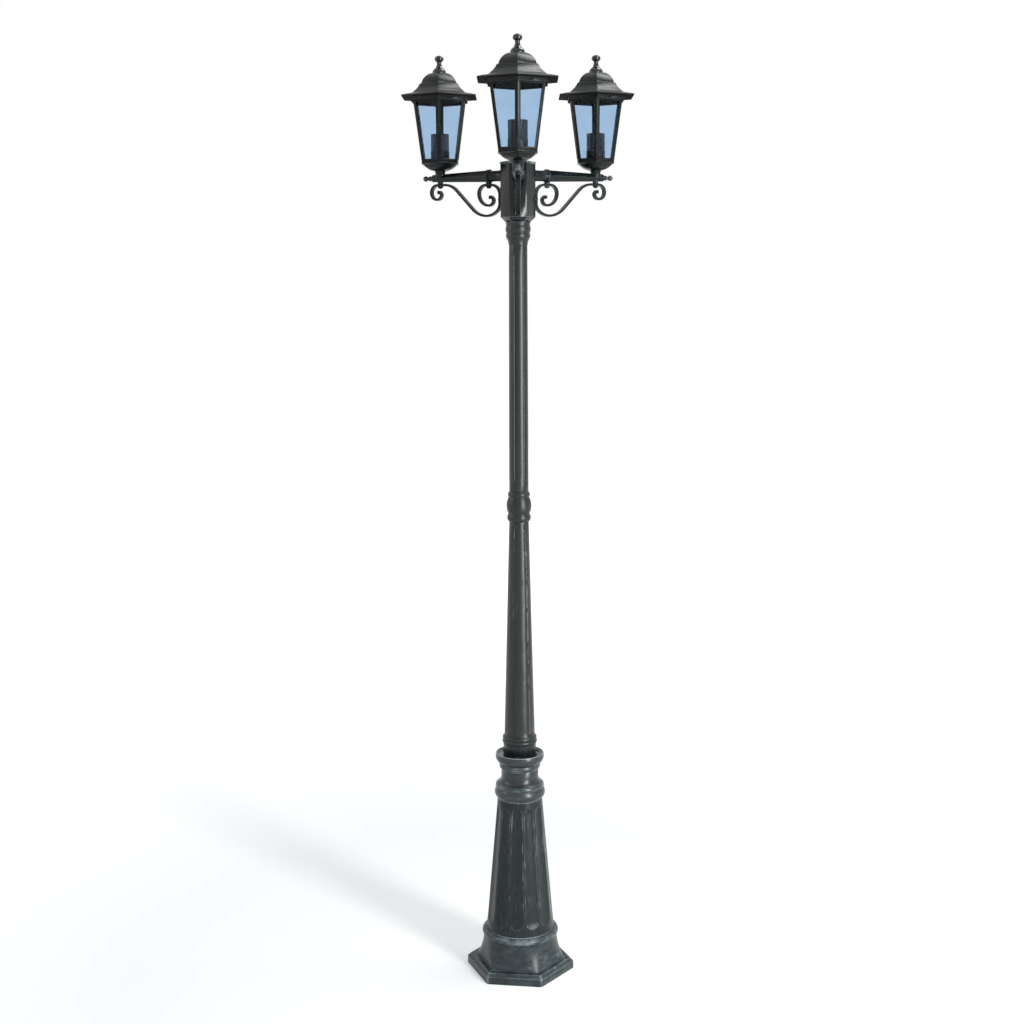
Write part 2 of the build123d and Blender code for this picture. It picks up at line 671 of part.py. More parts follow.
# ---- hub cap: lid dropped into the open top of the hub ----
with BuildPart() as hub_cap:
    with BuildSketch(Plane.XY.offset(hub_top_z - hub_cap_spigot)):
        RegularPolygon(hub_apothem - cast_wall - fit_gap, 6, major_radius=False)
    extrude(amount=hub_cap_spigot)
    with BuildSketch(Plane.XY.offset(hub_top_z)):
        RegularPolygon(hub_apothem + hub_cap_overhang, 6, major_radius=False)
    extrude(amount=hub_cap_height)
    chamfer(hub_cap.faces().sort_by(Axis.Z)[-1].edges(), hub_cap_height / 3)
save(hub_cap.part, "hub_cap")

# ---- tie rod and its two nuts: clamp the column between the foot bridge and the hub floor ----
bridge_low_z = ledge_low_z - bridge_thickness
with BuildPart() as tie_rod:
    with BuildSketch(Plane.XY.offset(bridge_low_z - rod_nut_height - rod_end)):
        Circle(rod_radius)
    extrude(amount=hub_floor_z - bridge_low_z + 2 * (rod_nut_height + rod_end))
    chamfer(tie_rod.edges().filter_by(GeomType.CIRCLE), 1)
save(tie_rod.part, "tie_rod")

with BuildPart() as tie_nuts:
    for seat_z in (bridge_low_z - rod_nut_height, hub_floor_z):
        with BuildSketch(Plane.XY.offset(seat_z)):
            RegularPolygon(rod_nut_flats / 2, 6, major_radius=False)
            Circle(rod_radius + thread_gap, mode=Mode.SUBTRACT)
        extrude(amount=rod_nut_height)
save(tie_nuts.part, "tie_nuts")

# ---- arms: tapered six-sided tube with a round socket, a ring and seats for lantern and scroll ----
arm_axis = Axis((0, 0, arm_axis_z), (1, 0, 0))
outer_crest_top_z = scroll_outer_crest_z + scroll_thickness / 2
inner_crest_top_z = scroll_inner_crest_z + scroll_thickness / 2


def arm_section(u):
    """Plane across the arm at distance u from the post axis."""
    return Plane(origin=(u, 0, arm_axis_z), x_dir=(0, 1, 0), z_dir=(1, 0, 0))


with BuildPart() as arm:
    with BuildSketch(arm_section(arm_root_u)):
        RegularPolygon(arm_flats_root / 2, 6, major_radius=False)
    with BuildSketch(arm_section(arm_end_u)):
        RegularPolygon(arm_flats_end / 2, 6, major_radius=False)
    loft()
    with BuildSketch(Plane.XZ):
        with BuildLine():
            flange = Polyline((hub_apothem - arm_spigot_length, arm_axis_z),
                              (hub_apothem - arm_spigot_length, arm_axis_z + arm_spigot_radius),
                              (hub_apothem, arm_axis_z + arm_spigot_radius),
                              (hub_apothem, arm_axis_z + arm_flange_radius))
            cone = ThreePointArc(flange @ 1, (hub_apothem + 9, arm_axis_z + arm_neck_radius + 1.6),
                                 (hub_apothem + 22, arm_axis_z + arm_neck_radius))
            Polyline(cone @ 1, (arm_root_u - arm_ring_width, arm_axis_z + arm_neck_radius),
                     (arm_root_u - arm_ring_width, arm_axis_z + arm_ring_radius),
                     (arm_root_u, arm_axis_z + arm_ring_radius), (arm_root_u, arm_axis_z), flange @ 0)
        make_face()
    revolve(axis=arm_axis)
    with BuildSketch(Plane.XY.offset(arm_axis_z)):
        with Locations((lantern_reach, 0)):
            Circle(stem_radius + arm_seat_rim)
    extrude(amount=stem_seat_z - arm_axis_z)
    with BuildSketch(Plane.XY.offset(outer_crest_top_z)):
        with Locations((lantern_reach, 0)):
            Circle(clip_radius)
    extrude(amount=arm_axis_z - outer_crest_top_z)
    with BuildSketch(Plane.XY.offset(inner_crest_top_z)):
        with Locations((inner_clip_u, 0)):
            Circle(clip_radius)
    extrude(amount=arm_axis_z - inner_crest_top_z)
    with BuildSketch(arm_section(hub_apothem - arm_spigot_length)):
        Circle(arm_bore_radius)
    extrude(amount=lantern_reach + arm_bore_radius + arm_spigot_length - hub_apothem, mode=Mode.SUBTRACT)
    with BuildSketch(Plane.XY.offset(stem_seat_z)):
        with Locations((lantern_reach, 0)):
            Circle(nipple_radius + thread_gap)
    extrude(amount=arm_axis_z - stem_seat_z, mode=Mode.SUBTRACT)
    for clip_u, crest_z in ((lantern_reach, outer_crest_top_z), (inner_clip_u, inner_crest_top_z)):
        with BuildSketch(Plane.XY.offset(crest_z)):
            with Locations((clip_u, 0)):
                Circle(clip_bolt_radius + thread_gap)
        extrude(amount=clip_bolt_bite + tip_clearance, mode=Mode.SUBTRACT)
    with BuildSketch(arm_section(arm_end_u)):
        Circle(tip_stud_radius + thread_gap)
    extrude(amount=-tip_stud_length - 1, mode=Mode.SUBTRACT)

# ---- arm tips: turned cone and ball screwed into the end of each arm ----
with BuildPart() as arm_tip:
    with BuildSketch(Plane.XZ):
        with BuildLine():
            cone = Polyline((arm_end_u - tip_stud_length, arm_axis_z),
                            (arm_end_u - tip_stud_length, arm_axis_z + tip_stud_radius),
                            (arm_end_u, arm_axis_z + tip_stud_radius), (arm_end_u, arm_axis_z + tip_cone_radius),
                            (arm_end_u + 8, arm_axis_z + tip_neck_radius + 1),
                            (arm_end_u + 9, arm_axis_z + tip_neck_radius + 2),
                            (arm_end_u + 11, arm_axis_z + tip_neck_radius + 2),
                            (arm_end_u + 12, arm_axis_z + tip_neck_radius))
            neck_end_u = tip_ball_u - (tip_ball_radius ** 2 - tip_neck_radius ** 2) ** 0.5
            neck = Line(cone @ 1, (neck_end_u, arm_axis_z + tip_neck_radius))
            ball = ThreePointArc(neck @ 1, (tip_ball_u, arm_axis_z + tip_ball_radius),
                                 (tip_ball_u + tip_ball_radius, arm_axis_z))
            Line(ball @ 1, cone @ 0)
        make_face()
    revolve(axis=arm_axis)

# ---- arm nuts: thin nuts inside the hub ----
with BuildPart() as arm_nut:
    with BuildSketch(arm_section(hub_apothem - cast_wall)):
        RegularPolygon(arm_nut_flats / 2, 6, major_radius=False)
        Circle(arm_spigot_radius + thread_gap, mode=Mode.SUBTRACT)
    extrude(amount=-arm_nut_height)

# ---- scroll brackets: one bar from the outer curl over both clips to the inner curl ----
with BuildPart() as scroll:
    with BuildLine(Plane.XZ) as scroll_path:
        outer_flat = Line((lantern_reach + clip_radius + clip_margin, scroll_outer_crest_z),
                          (shoulder_u, scroll_outer_crest_z))
        shoulder = JernArc(outer_flat @ 1, outer_flat % 1, shoulder_radius, scroll_slope)
        slant = Line(shoulder @ 1, shoulder @ 1 + (shoulder % 1) * slant_length)
        belly = JernArc(slant @ 1, slant % 1, belly_radius, -scroll_slope)
        rise = JernArc(belly @ 1, belly % 1, rise_low_radius, -scroll_slope)
        turn_up = JernArc(rise @ 1, rise % 1, rise_high_radius, scroll_slope - 90)
        wall = Line(turn_up @ 1, turn_up @ 1 + (turn_up % 1) * wall_run)
        turn_out = JernArc(wall @ 1, wall % 1, return_radius, -90)
        inner_flat = Line(turn_out @ 1, (inner_clip_u + clip_radius + clip_margin, scroll_inner_crest_z))
        for start, radii in ((inner_flat @ 1, inner_curl_radii), (outer_flat @ 0, outer_curl_radii)):
            heading = Vector(1, 0, 0)
            for radius in radii:
                curl = JernArc(start, heading, radius, -90)
                start = curl @ 1
                heading = curl % 1
    bar = scroll_path.wires()[0]
    with BuildSketch(Plane(origin=bar @ 0, x_dir=(0, 1, 0), z_dir=bar % 0)):
        Rectangle(scroll_width, scroll_thickness)
    sweep(path=bar)
    for end in (bar @ 0, bar @ 1):
        with BuildSketch(Plane(origin=(end.X, scroll_width / 2, end.Z), z_dir=(0, -1, 0))):
            Circle(scroll_end_radius)
        extrude(amount=scroll_width)
    for clip_u, crest_z in ((lantern_reach, scroll_outer_crest_z), (inner_clip_u, scroll_inner_crest_z)):
        with BuildSketch(Plane.XY.offset(crest_z - scroll_thickness)):
            with Locations((clip_u, 0)):
                Circle(clip_bolt_radius + screw_gap)
        extrude(amount=2 * scroll_thickness, mode=Mode.SUBTRACT)
    with BuildSketch(Plane(origin=(wall_u - scroll_thickness, 0, hub_pad_z), x_dir=(0, 1, 0), z_dir=(1, 0, 0))):
        Circle(hub_screw_radius + screw_gap)
    extrude(amount=2 * scroll_thickness, mode=Mode.SUBTRACT)

# ---- scroll bolts: domed bolts that clamp the scroll under the arm, two to an arm ----
with BuildPart() as clip_bolts:
    for clip_u, crest_z in ((lantern_reach, scroll_outer_crest_z), (inner_clip_u, scroll_inner_crest_z)):
        head_z = crest_z - scroll_thickness / 2
        with BuildSketch(Plane.XZ):
            with BuildLine():
                shank = Polyline((clip_u, head_z + scroll_thickness + clip_bolt_bite),
                                 (clip_u + clip_bolt_radius, head_z + scroll_thickness + clip_bolt_bite),
                                 (clip_u + clip_bolt_radius, head_z), (clip_u + clip_radius, head_z),
                                 (clip_u + clip_radius, head_z - clip_nut_height / 3))
                TangentArc((clip_u, head_z - clip_nut_height), shank @ 1, tangent=(1, 0), tangent_from_first=True)
                Line((clip_u, head_z - clip_nut_height), shank @ 0)
            make_face()
        revolve(axis=Axis((clip_u, 0, 0), (0, 0, 1)))

# ---- scroll screws: one to a scroll, through the bar into the pad on the hub ----
with BuildPart() as scroll_screw:
    with BuildSketch(Plane(origin=(wall_u + scroll_thickness / 2, 0, hub_pad_z), z_dir=(1, 0, 0))):
        Circle(hub_screw_head)
    extrude(amount=hub_screw_head_height)
    with BuildSketch(Plane(origin=(wall_u + scroll_thickness / 2, 0, hub_pad_z), z_dir=(1, 0, 0))):
        Circle(hub_screw_radius)
    extrude(amount=-scroll_thickness - hub_pad_length)

for spot, side in on_arms():
    save(arm.part.moved(spot), f"arm_{side}")
    save(arm_tip.part.moved(spot), f"arm_tip_{side}")
    save(scroll.part.moved(spot), f"scroll_{side}")
for fastener, name in ((arm_nut, "arm_nuts"), (clip_bolts, "scroll_bolts"), (scroll_screw, "scroll_screws")):
    save(one_a_side(fastener.part), name)

# ---- lantern base: six-sided pan on a round stem ----
with BuildPart() as lantern_base:
    add(six_sided(hex_prism(pan_outline)))
    with Locations((0, 0, stem_seat_z)):
        Cone(stem_radius, stem_top_radius, stem_height + 1, align=(Align.CENTER, Align.CENTER, Align.MIN))
    bore(cage_floor_hole, pan_floor_z, cage_bottom_z)
    bore(nipple_radius + thread_gap, stem_seat_z, pan_floor_z)

# ---- nipple: threaded tube from the arm through the pan, with its nut under the lampholder ----
with BuildPart() as nipple:
    with BuildSketch(Plane.XY.offset(arm_axis_z + arm_bore_radius)):
        Circle(nipple_radius)
        Circle(nipple_bore, mode=Mode.SUBTRACT)
    extrude(amount=pan_floor_z + 2 * nipple_nut_height - arm_axis_z - arm_bore_radius)
with BuildPart() as nipple_nut:
    with BuildSketch(Plane.XY.offset(pan_floor_z)):
        RegularPolygon(nipple_nut_flats / 2, 6, major_radius=False)
        Circle(nipple_radius + thread_gap, mode=Mode.SUBTRACT)
    extrude(amount=nipple_nut_height)

# ---- lantern cage: six-sided tapered frame in one casting, a window in each face ----
cage_flare = (cage_top_apothem - cage_bottom_apothem) / (cage_top_z - cage_bottom_z)


def cage_apothem_at(z):
    return cage_bottom_apothem + cage_flare * (z - cage_bottom_z)


def cage_outline(inset, low_z):
    """Half section of the cage solid, or of its hollow when inset by the wall."""
    Polyline((0, low_z), (cage_apothem_at(low_z) - inset, low_z),
             (cage_top_apothem - inset, cage_top_z), (0, cage_top_z), close=True)


window_low_z = cage_bottom_z + cage_bottom_rail
window_high_z = cage_top_z - cage_top_rail
with BuildPart() as cage:
    add(six_sided(hex_prism(lambda: cage_outline(0, cage_bottom_z))))
    add(six_sided(hex_prism(lambda: cage_outline(cage_wall, cage_bottom_z + cage_floor))), mode=Mode.SUBTRACT)
    bore(cage_floor_hole, cage_bottom_z, cage_bottom_z + cage_floor)
    low_half = cage_apothem_at(window_low_z) * tan(radians(30)) - cage_bar
    high_half = cage_apothem_at(window_high_z) * tan(radians(30)) - cage_bar
    for face_turn in (0, 60, 120):
        with BuildSketch(Plane.XZ.rotated((0, 0, face_turn))):
            Polygon((-low_half, window_low_z), (low_half, window_low_z),
                    (high_half, window_high_z), (-high_half, window_high_z), align=None)
        extrude(amount=cage_top_apothem + 1, both=True, mode=Mode.SUBTRACT)

# ---- panes: six clear plates standing on the cage floor behind the windows ----
pane_low_z = cage_bottom_z + cage_floor
pane_rise = cage_top_z - roof_collar_drop / 2 - pane_low_z
pane_length = pane_rise * (1 + cage_flare ** 2) ** 0.5
pane_face_apothem = cage_apothem_at(pane_low_z) - cage_wall - fit_gap
pane_low_half = (pane_face_apothem - pane_thickness) * tan(radians(30)) - pane_mitre / 2
pane_high_half = pane_low_half + cage_flare * pane_rise * tan(radians(30))
with BuildPart() as pane:
    with BuildSketch(Plane(origin=(0, pane_face_apothem, pane_low_z), x_dir=(-1, 0, 0), z_dir=(0, 1, -cage_flare))):
        Polygon((-pane_low_half, 0), (pane_low_half, 0),
                (pane_high_half, pane_length), (-pane_high_half, pane_length), align=None)
    extrude(amount=-pane_thickness)
with BuildPart() as panes:
    with PolarLocations(0, 6):
        add(pane.part)

# ---- lampholder: round base over the nipple nut, ribbed skirt, screw shell and centre contact ----
with BuildPart() as holder_base:
    with BuildSketch(Plane.XY.offset(pan_floor_z)):
        Circle(holder_radius)
    extrude(amount=holder_split_z - pan_floor_z)
    bore(holder_chamber_radius, pan_floor_z, holder_split_z - holder_cap)
    with BuildSketch(Plane.XY.offset(holder_split_z)):
        with PolarLocations(holder_wire_spacing, 2):
            Circle(holder_wire_hole)
    extrude(amount=-holder_cap, mode=Mode.SUBTRACT)

skirt_floor_z = holder_split_z + skirt_ledge
shell_outer_radius = lamp_bore_radius + lamp_shell_wall
with BuildPart() as holder_skirt:
    ridge_pitch = (holder_top_z - holder_split_z) / holder_ridges
    with BuildSketch(Plane.XZ):
        with Locations((0, holder_split_z)):
            Rectangle(holder_radius - holder_ridge_depth, holder_top_z - holder_split_z, align=Align.MIN)
        for ridge in range(holder_ridges):
            with Locations((0, holder_split_z + (ridge + 0.5) * ridge_pitch)):
                Rectangle(holder_radius, 0.6 * ridge_pitch, align=(Align.MIN, Align.CENTER))
    revolve(axis=Axis.Z)
    bore(lamp_bore_radius + fit_gap, holder_split_z, skirt_floor_z)
    bore(shell_outer_radius + fit_gap, skirt_floor_z, holder_top_z)

with BuildPart() as lamp_contacts:
    with BuildSketch(Plane.XY.offset(skirt_floor_z)):
        Circle(shell_outer_radius)
        Circle(lamp_bore_radius, mode=Mode.SUBTRACT)
    extrude(amount=lamp_shell_length)
    with BuildSketch(Plane.XY.offset(holder_split_z)):
        Circle(contact_radius)
    extrude(amount=contact_height)
    fillet(lamp_contacts.edges().filter_by(GeomType.CIRCLE).sort_by(SortBy.RADIUS)[0:2].sort_by(Axis.Z)[-1], contact_round)

# ---- roof: six-sided hood in one casting, collar outside the cage top, eave, two tiers ----
roof_seat_z = cage_top_z
collar_inner_apothem = cage_top_apothem + roof_collar_gap
collar_outer_apothem = collar_inner_apothem + roof_wall + 0.2


def roof_outline():
    """Half section of the outside of the roof."""
    collar = Polyline((0, roof_seat_z - roof_collar_drop), (collar_outer_apothem, roof_seat_z - roof_collar_drop),
                      (collar_outer_apothem, eave_under_z), (eave_apothem, eave_under_z),
                      (eave_apothem, eave_under_z + eave_edge), (roof_slope_apothem, roof_slope_z))
    cove = ThreePointArc(collar @ 1, (roof_slope_apothem - 8, roof_slope_z + 1.8),
                         (roof_cove_apothem, roof_cove_z))
    tier = ThreePointArc(cove @ 1, (roof_tier_apothem + 3.7, roof_cove_z + 9.5), (roof_tier_apothem, roof_tier_z))
    ledge = Polyline(tier @ 1, (roof_dome_apothem, roof_tier_z + 2.5), (roof_dome_apothem, roof_tier_z + 4.5))
    dome = ThreePointArc(ledge @ 1, (roof_dome_apothem - 6.5, roof_tier_z + 16), (roof_top_apothem, roof_top_z))
    Polyline(dome @ 1, (0, roof_top_z), collar @ 0)


def roof_hollow_outline():
    """Half section of the hollow under the roof, with the step that rests on the cage."""
    seat = Polyline((0, roof_seat_z - roof_collar_drop), (collar_inner_apothem, roof_seat_z - roof_collar_drop),
                    (collar_inner_apothem, roof_seat_z), (roof_throat_apothem, roof_seat_z),
                    (roof_throat_apothem, roof_cove_z - 3.5), (roof_tier_apothem - roof_wall, roof_tier_z - roof_wall),
                    (roof_dome_apothem - roof_wall, roof_tier_z + 1))
    dome = ThreePointArc(seat @ 1, (roof_dome_apothem - 6.5 - 0.8 * roof_wall, roof_tier_z + 16 - 0.6 * roof_wall),
                         (roof_top_apothem - roof_wall, roof_top_z - roof_wall))
    Polyline(dome @ 1, (0, roof_top_z - roof_wall), seat @ 0)


with BuildPart() as roof:
    add(six_sided(hex_prism(roof_outline)))
    add(six_sided(hex_prism(roof_hollow_outline)), mode=Mode.SUBTRACT)
    bore(finial_stud_radius + screw_gap, roof_top_z - roof_wall, roof_top_z)
    for spot in PolarLocations(collar_outer_apothem, roof_screws_round, start_angle=30).locations:
        with BuildSketch(side_face(spot, roof_screw_z)):
            Circle(roof_screw_radius + thread_gap)
        extrude(amount=-2 * roof_wall, mode=Mode.SUBTRACT)

# ---- roof screws: three thumb screws through the collar ----
with BuildPart() as roof_screws:
    for spot in PolarLocations(collar_outer_apothem, roof_screws_round, start_angle=30).locations:
        with BuildSketch(side_face(spot, roof_screw_z)):
            Circle(roof_screw_head)
        extrude(amount=roof_screw_head_height)
        with BuildSketch(side_face(spot, roof_screw_z)):
            Circle(roof_screw_radius)
        extrude(amount=cage_top_apothem + roof_collar_gap / 2 - collar_outer_apothem)

# ---- finial: turned cup, neck and ball screwed down on the roof, with its nut inside ----
stud_end_z = roof_top_z - roof_wall - finial_nut_height - 2
with BuildPart() as finial:
    with BuildSketch(Plane.XZ):
        with BuildLine():
            stud = Polyline((0, stud_end_z), (finial_stud_radius, stud_end_z), (finial_stud_radius, roof_top_z),
                            (finial_cup_radius, roof_top_z), (finial_cup_radius, roof_top_z + 1.5))
            cup = ThreePointArc(stud @ 1, (finial_cup_radius - 2, roof_top_z + 8),
                                (finial_cup_radius - 6, roof_top_z + 12))
            neck = ThreePointArc(cup @ 1, (finial_neck_radius + 1.5, roof_top_z + 16),
                                 (finial_neck_radius, total_height - 15))
            knob = ThreePointArc(neck @ 1, (finial_ball_radius, total_height - 8.5),
                                 (finial_ball_radius - 2.5, total_height - 3))
            TangentArc((0, total_height), knob @ 1, tangent=(1, 0), tangent_from_first=True)
            Line((0, total_height), stud @ 0)
        make_face()
    revolve(axis=Axis.Z)

with BuildPart() as finial_nut:
    with BuildSketch(Plane.XY.offset(roof_top_z - roof_wall - finial_nut_height)):
        RegularPolygon(finial_nut_flats / 2, 6, major_radius=False)
        Circle(finial_stud_radius + thread_gap, mode=Mode.SUBTRACT)
    extrude(amount=finial_nut_height)

lantern_pieces = ((lantern_base, "lantern_base"), (cage, "lantern_cage"), (panes, "lantern_panes"),
                  (holder_base, "holder_base"), (holder_skirt, "holder_skirt"),
                  (lamp_contacts, "lamp_contacts"), (roof, "roof"), (roof_screws, "roof_screws"),
                  (finial, "finial"), (finial_nut, "finial_nut"))
for spot, side in on_arms(lantern_reach):
    for piece, name in lantern_pieces:
        save(piece.part.moved(spot), f"{name}_{side}")
save(one_a_side(nipple.part, lantern_reach), "stem_nipples")
save(one_a_side(nipple_nut.part, lantern_reach), "stem_nuts")
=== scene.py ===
import json
import math

import bmesh
import bpy
from mathutils import Matrix, Vector

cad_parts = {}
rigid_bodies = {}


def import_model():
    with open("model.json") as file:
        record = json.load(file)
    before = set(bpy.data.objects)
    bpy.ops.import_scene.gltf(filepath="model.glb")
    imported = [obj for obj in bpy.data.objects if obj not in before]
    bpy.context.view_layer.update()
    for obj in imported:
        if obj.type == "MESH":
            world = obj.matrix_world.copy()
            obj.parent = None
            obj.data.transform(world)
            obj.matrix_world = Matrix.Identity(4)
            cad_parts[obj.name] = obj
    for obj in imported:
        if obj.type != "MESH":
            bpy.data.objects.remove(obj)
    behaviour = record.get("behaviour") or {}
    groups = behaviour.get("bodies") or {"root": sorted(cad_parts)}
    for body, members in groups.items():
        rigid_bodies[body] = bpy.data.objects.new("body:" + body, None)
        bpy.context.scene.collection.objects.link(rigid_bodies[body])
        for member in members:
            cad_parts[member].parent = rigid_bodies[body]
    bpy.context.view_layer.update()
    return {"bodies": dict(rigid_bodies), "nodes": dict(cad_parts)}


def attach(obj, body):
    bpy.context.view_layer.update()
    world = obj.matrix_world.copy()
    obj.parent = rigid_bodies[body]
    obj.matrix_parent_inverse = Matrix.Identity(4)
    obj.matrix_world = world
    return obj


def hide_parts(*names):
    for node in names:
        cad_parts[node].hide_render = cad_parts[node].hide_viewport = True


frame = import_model()

# ---- camera ----
# A standing photographer's view from 3.68 m in front of the post and 1.76 m up, looking a little down.
camera_back, camera_up = 3.6815, 1.7622
tilt, turn, lean = math.radians(8.8265), math.radians(-0.2694), math.radians(-0.2228)
forward = Vector((math.sin(turn) * math.cos(tilt), math.cos(turn) * math.cos(tilt), -math.sin(tilt)))
level = Vector((math.cos(turn), -math.sin(turn), 0))
rise = level.cross(forward)
across = level * math.cos(lean) + rise * math.sin(lean)
upward = rise * math.cos(lean) - level * math.sin(lean)
camera = bpy.data.objects.new("camera", bpy.data.cameras.new("camera"))
camera.data.sensor_width = 36
camera.data.lens = 52.85
camera.matrix_world = Matrix((
    (across.x, upward.x, -forward.x, 0),
    (across.y, upward.y, -forward.y, -camera_back),
    (across.z, upward.z, -forward.z, camera_up),
    (0, 0, 0, 1)))
bpy.context.collection.objects.link(camera)
bpy.context.scene.camera = camera
bpy.context.scene.view_settings.view_transform = "Standard"


# ---- studio ----
# Pale paper floor in a white room, with a tall strip lamp on the right and soft lamps on the left and above.
# Camera, mirror and glass rays see the room as white; the object itself is lit by the lamps and a dim grey.
def linear(code):
    """Linear colour of an sRGB hex value."""
    parts = [int(code[i:i + 2], 16) / 255 for i in (1, 3, 5)]
    return [c / 12.92 if c <= 0.04045 else ((c + 0.055) / 1.055) ** 2.4 for c in parts] + [1]


def add_node(tree, kind, sockets=None, **settings):
    """A node with its settings. Each socket takes a value, an output, or another node for its first output."""
    node = tree.nodes.new(kind)
    for name, value in settings.items():
        setattr(node, name, value)
    for name, value in (sockets or {}).items():
        source = value.outputs[0] if isinstance(value, bpy.types.Node) else value
        if isinstance(source, bpy.types.NodeSocket):
            tree.links.new(source, node.inputs[name])
        else:
            node.inputs[name].default_value = source
    return node


def new_finish(name):
    """An empty material and its node tree."""
    finish = bpy.data.materials.new(name)
    finish.use_nodes = True
    finish.node_tree.nodes.clear()
    return finish, finish.node_tree


def seen_as_white(tree):
    """One for rays that reach the room from the camera, from a mirror or through glass."""
    path = add_node(tree, "ShaderNodeLightPath").outputs
    mirrored = add_node(tree, "ShaderNodeMath", {0: path["Is Glossy Ray"], 1: path["Is Transmission Ray"]},
                        operation="MAXIMUM")
    return add_node(tree, "ShaderNodeMath", {0: path["Is Camera Ray"], 1: mirrored}, operation="MAXIMUM")


world = bpy.data.worlds.new("white room")
bpy.context.scene.world = world
world.use_nodes = True
room_tree = world.node_tree
room_tree.nodes.clear()
dim_room = add_node(room_tree, "ShaderNodeBackground", {"Color": linear("#c4ccd2"), "Strength": 0.5})
white_room = add_node(room_tree, "ShaderNodeBackground", {"Color": linear("#ffffff"), "Strength": 1.0})
room = add_node(room_tree, "ShaderNodeMixShader", {0: seen_as_white(room_tree), 1: dim_room, 2: white_room})
add_node(room_tree, "ShaderNodeOutputWorld", {"Surface": room})

# the paper fades into the white room: it also glows for camera, mirror and glass rays, a painted light that
# grows brighter and brighter from 1 m to 4 m away from the post
paper_finish, paper_tree = new_finish("pale studio paper")
paper = add_node(paper_tree, "ShaderNodeBsdfDiffuse", {"Color": linear("#dcdcda")})
paper_place = add_node(paper_tree, "ShaderNodeTexCoord").outputs["Object"]
distance = add_node(paper_tree, "ShaderNodeVectorMath", {0: paper_place}, operation="LENGTH").outputs["Value"]
fade = add_node(paper_tree, "ShaderNodeMapRange", {
    "Value": distance, "From Min": 1.0, "From Max": 4.0, "To Min": 0.40, "To Max": 1.0})
painted_glow_strength = add_node(paper_tree, "ShaderNodeMath", {0: seen_as_white(paper_tree), 1: fade}, operation="MULTIPLY")
glow = add_node(paper_tree, "ShaderNodeEmission", {"Color": linear("#ffffff"), "Strength": painted_glow_strength})
lit_paper = add_node(paper_tree, "ShaderNodeAddShader", {0: paper, 1: glow})
add_node(paper_tree, "ShaderNodeOutputMaterial", {"Surface": lit_paper})
half_floor = 12
floor_mesh = bpy.data.meshes.new("floor")
floor_corners = [(x * half_floor, y * half_floor, 0) for x, y in ((-1, -1), (1, -1), (1, 1), (-1, 1))]
floor_mesh.from_pydata(floor_corners, [], [(0, 1, 2, 3)])
floor_mesh.materials.append(paper_finish)
floor = bpy.data.objects.new("floor", floor_mesh)
bpy.context.collection.objects.link(floor)

lamps_aim_at = Vector((0, 0, 1.4))
for name, place, power, size, colour in (
        ("right strip lamp", (2.2, -2.5, 1.75), 150, (0.6, 3.2), "#fafffd"),
        ("left lamp", (-3.3, -0.3, 2.6), 20, (1.4, 2.2), "#e6efff"),
        ("top lamp", (1.2, 0.5, 4.3), 55, (1.4, 1.4), "#ffffff")):
    lamp = bpy.data.objects.new(name, bpy.data.lights.new(name, "AREA"))
    lamp.data.energy = power
    lamp.data.shape = "RECTANGLE"
    lamp.data.size, lamp.data.size_y = size
    lamp.data.color = linear(colour)[:3]
    lamp.location = place
    lamp.rotation_euler = (lamps_aim_at - Vector(place)).to_track_quat("-Z", "Y").to_euler()
    bpy.context.collection.objects.link(lamp)


# ---- foot ----
# Six-sided ground plate, skirt and ring, sand cast in one piece of aluminium and open below.
# Charcoal enamel is sprayed over it, then a grey glaze is wiped on, which stays on skirt and high edges; on the
# high edges the lightening is also a painted highlight.
def body_under(node):
    """Name of the CAD body that carries a node."""
    carrier = frame["nodes"][node].parent
    return next(name for name, empty in frame["bodies"].items() if empty == carrier)


def seat(mesh, name, finish, slot, *nodes):
    """The mesh becomes a piece in the place of these CAD nodes, on their body."""
    mesh.materials.clear()
    mesh.materials.append(finish)
    piece = bpy.data.objects.new(name, mesh)
    bpy.context.collection.objects.link(piece)
    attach(piece, body_under(nodes[0]))
    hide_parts(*nodes)


def evaluated_mesh(item):
    """Plain mesh of an object as its modifiers leave it. The object itself is taken away."""
    bpy.context.collection.objects.link(item)
    bpy.context.view_layer.update()
    mesh = bpy.data.meshes.new_from_object(item.evaluated_get(bpy.context.evaluated_depsgraph_get()))
    bpy.data.objects.remove(item)
    return mesh


def mark_high_edges(mesh, full_rub_and_highlight_radius=0.003):
    """Writes a face attribute for rubbed glaze and painted highlight on high edges: 0 on flat and hollow faces,
    1 on edges as sharp as this radius.
    """
    least_area = 1e-10
    shape = bmesh.new()
    shape.from_mesh(mesh)
    rub_and_highlight = []
    for face in shape.faces:
        bend = sum(edge.calc_face_angle_signed(0) * edge.calc_length() for edge in face.edges)
        curvature = bend / (2 * max(face.calc_area(), least_area))
        rub_and_highlight.append(min(max(curvature * full_rub_and_highlight_radius, 0), 1))
    shape.free()
    mesh.attributes.new("rub_and_highlight", "FLOAT", "FACE").data.foreach_set("value", rub_and_highlight)


def cast_piece(node, finish, edge_round):
    """The casting as it leaves the mould: the CAD shape welded, its hard edges rounded by the paint."""
    mesh = frame["nodes"][node].data.copy()
    shape = bmesh.new()
    shape.from_mesh(mesh)
    bmesh.ops.remove_doubles(shape, verts=shape.verts, dist=5e-6)
    bmesh.ops.dissolve_limit(shape, angle_limit=math.radians(0.4), verts=shape.verts, edges=shape.edges)
    shape.to_mesh(mesh)
    shape.free()
    mesh.shade_smooth()
    rounded = bpy.data.objects.new("rounded", mesh)
    bevel = rounded.modifiers.new("paint on the edges", "BEVEL")
    bevel.width = edge_round
    bevel.segments = 2
    bevel.limit_method = "ANGLE"
    bevel.angle_limit = math.radians(28)
    bevel.harden_normals = True
    painted = evaluated_mesh(rounded)
    mark_high_edges(painted)
    seat(painted, "painted_" + node, finish, "cast_paint", node)
    return painted


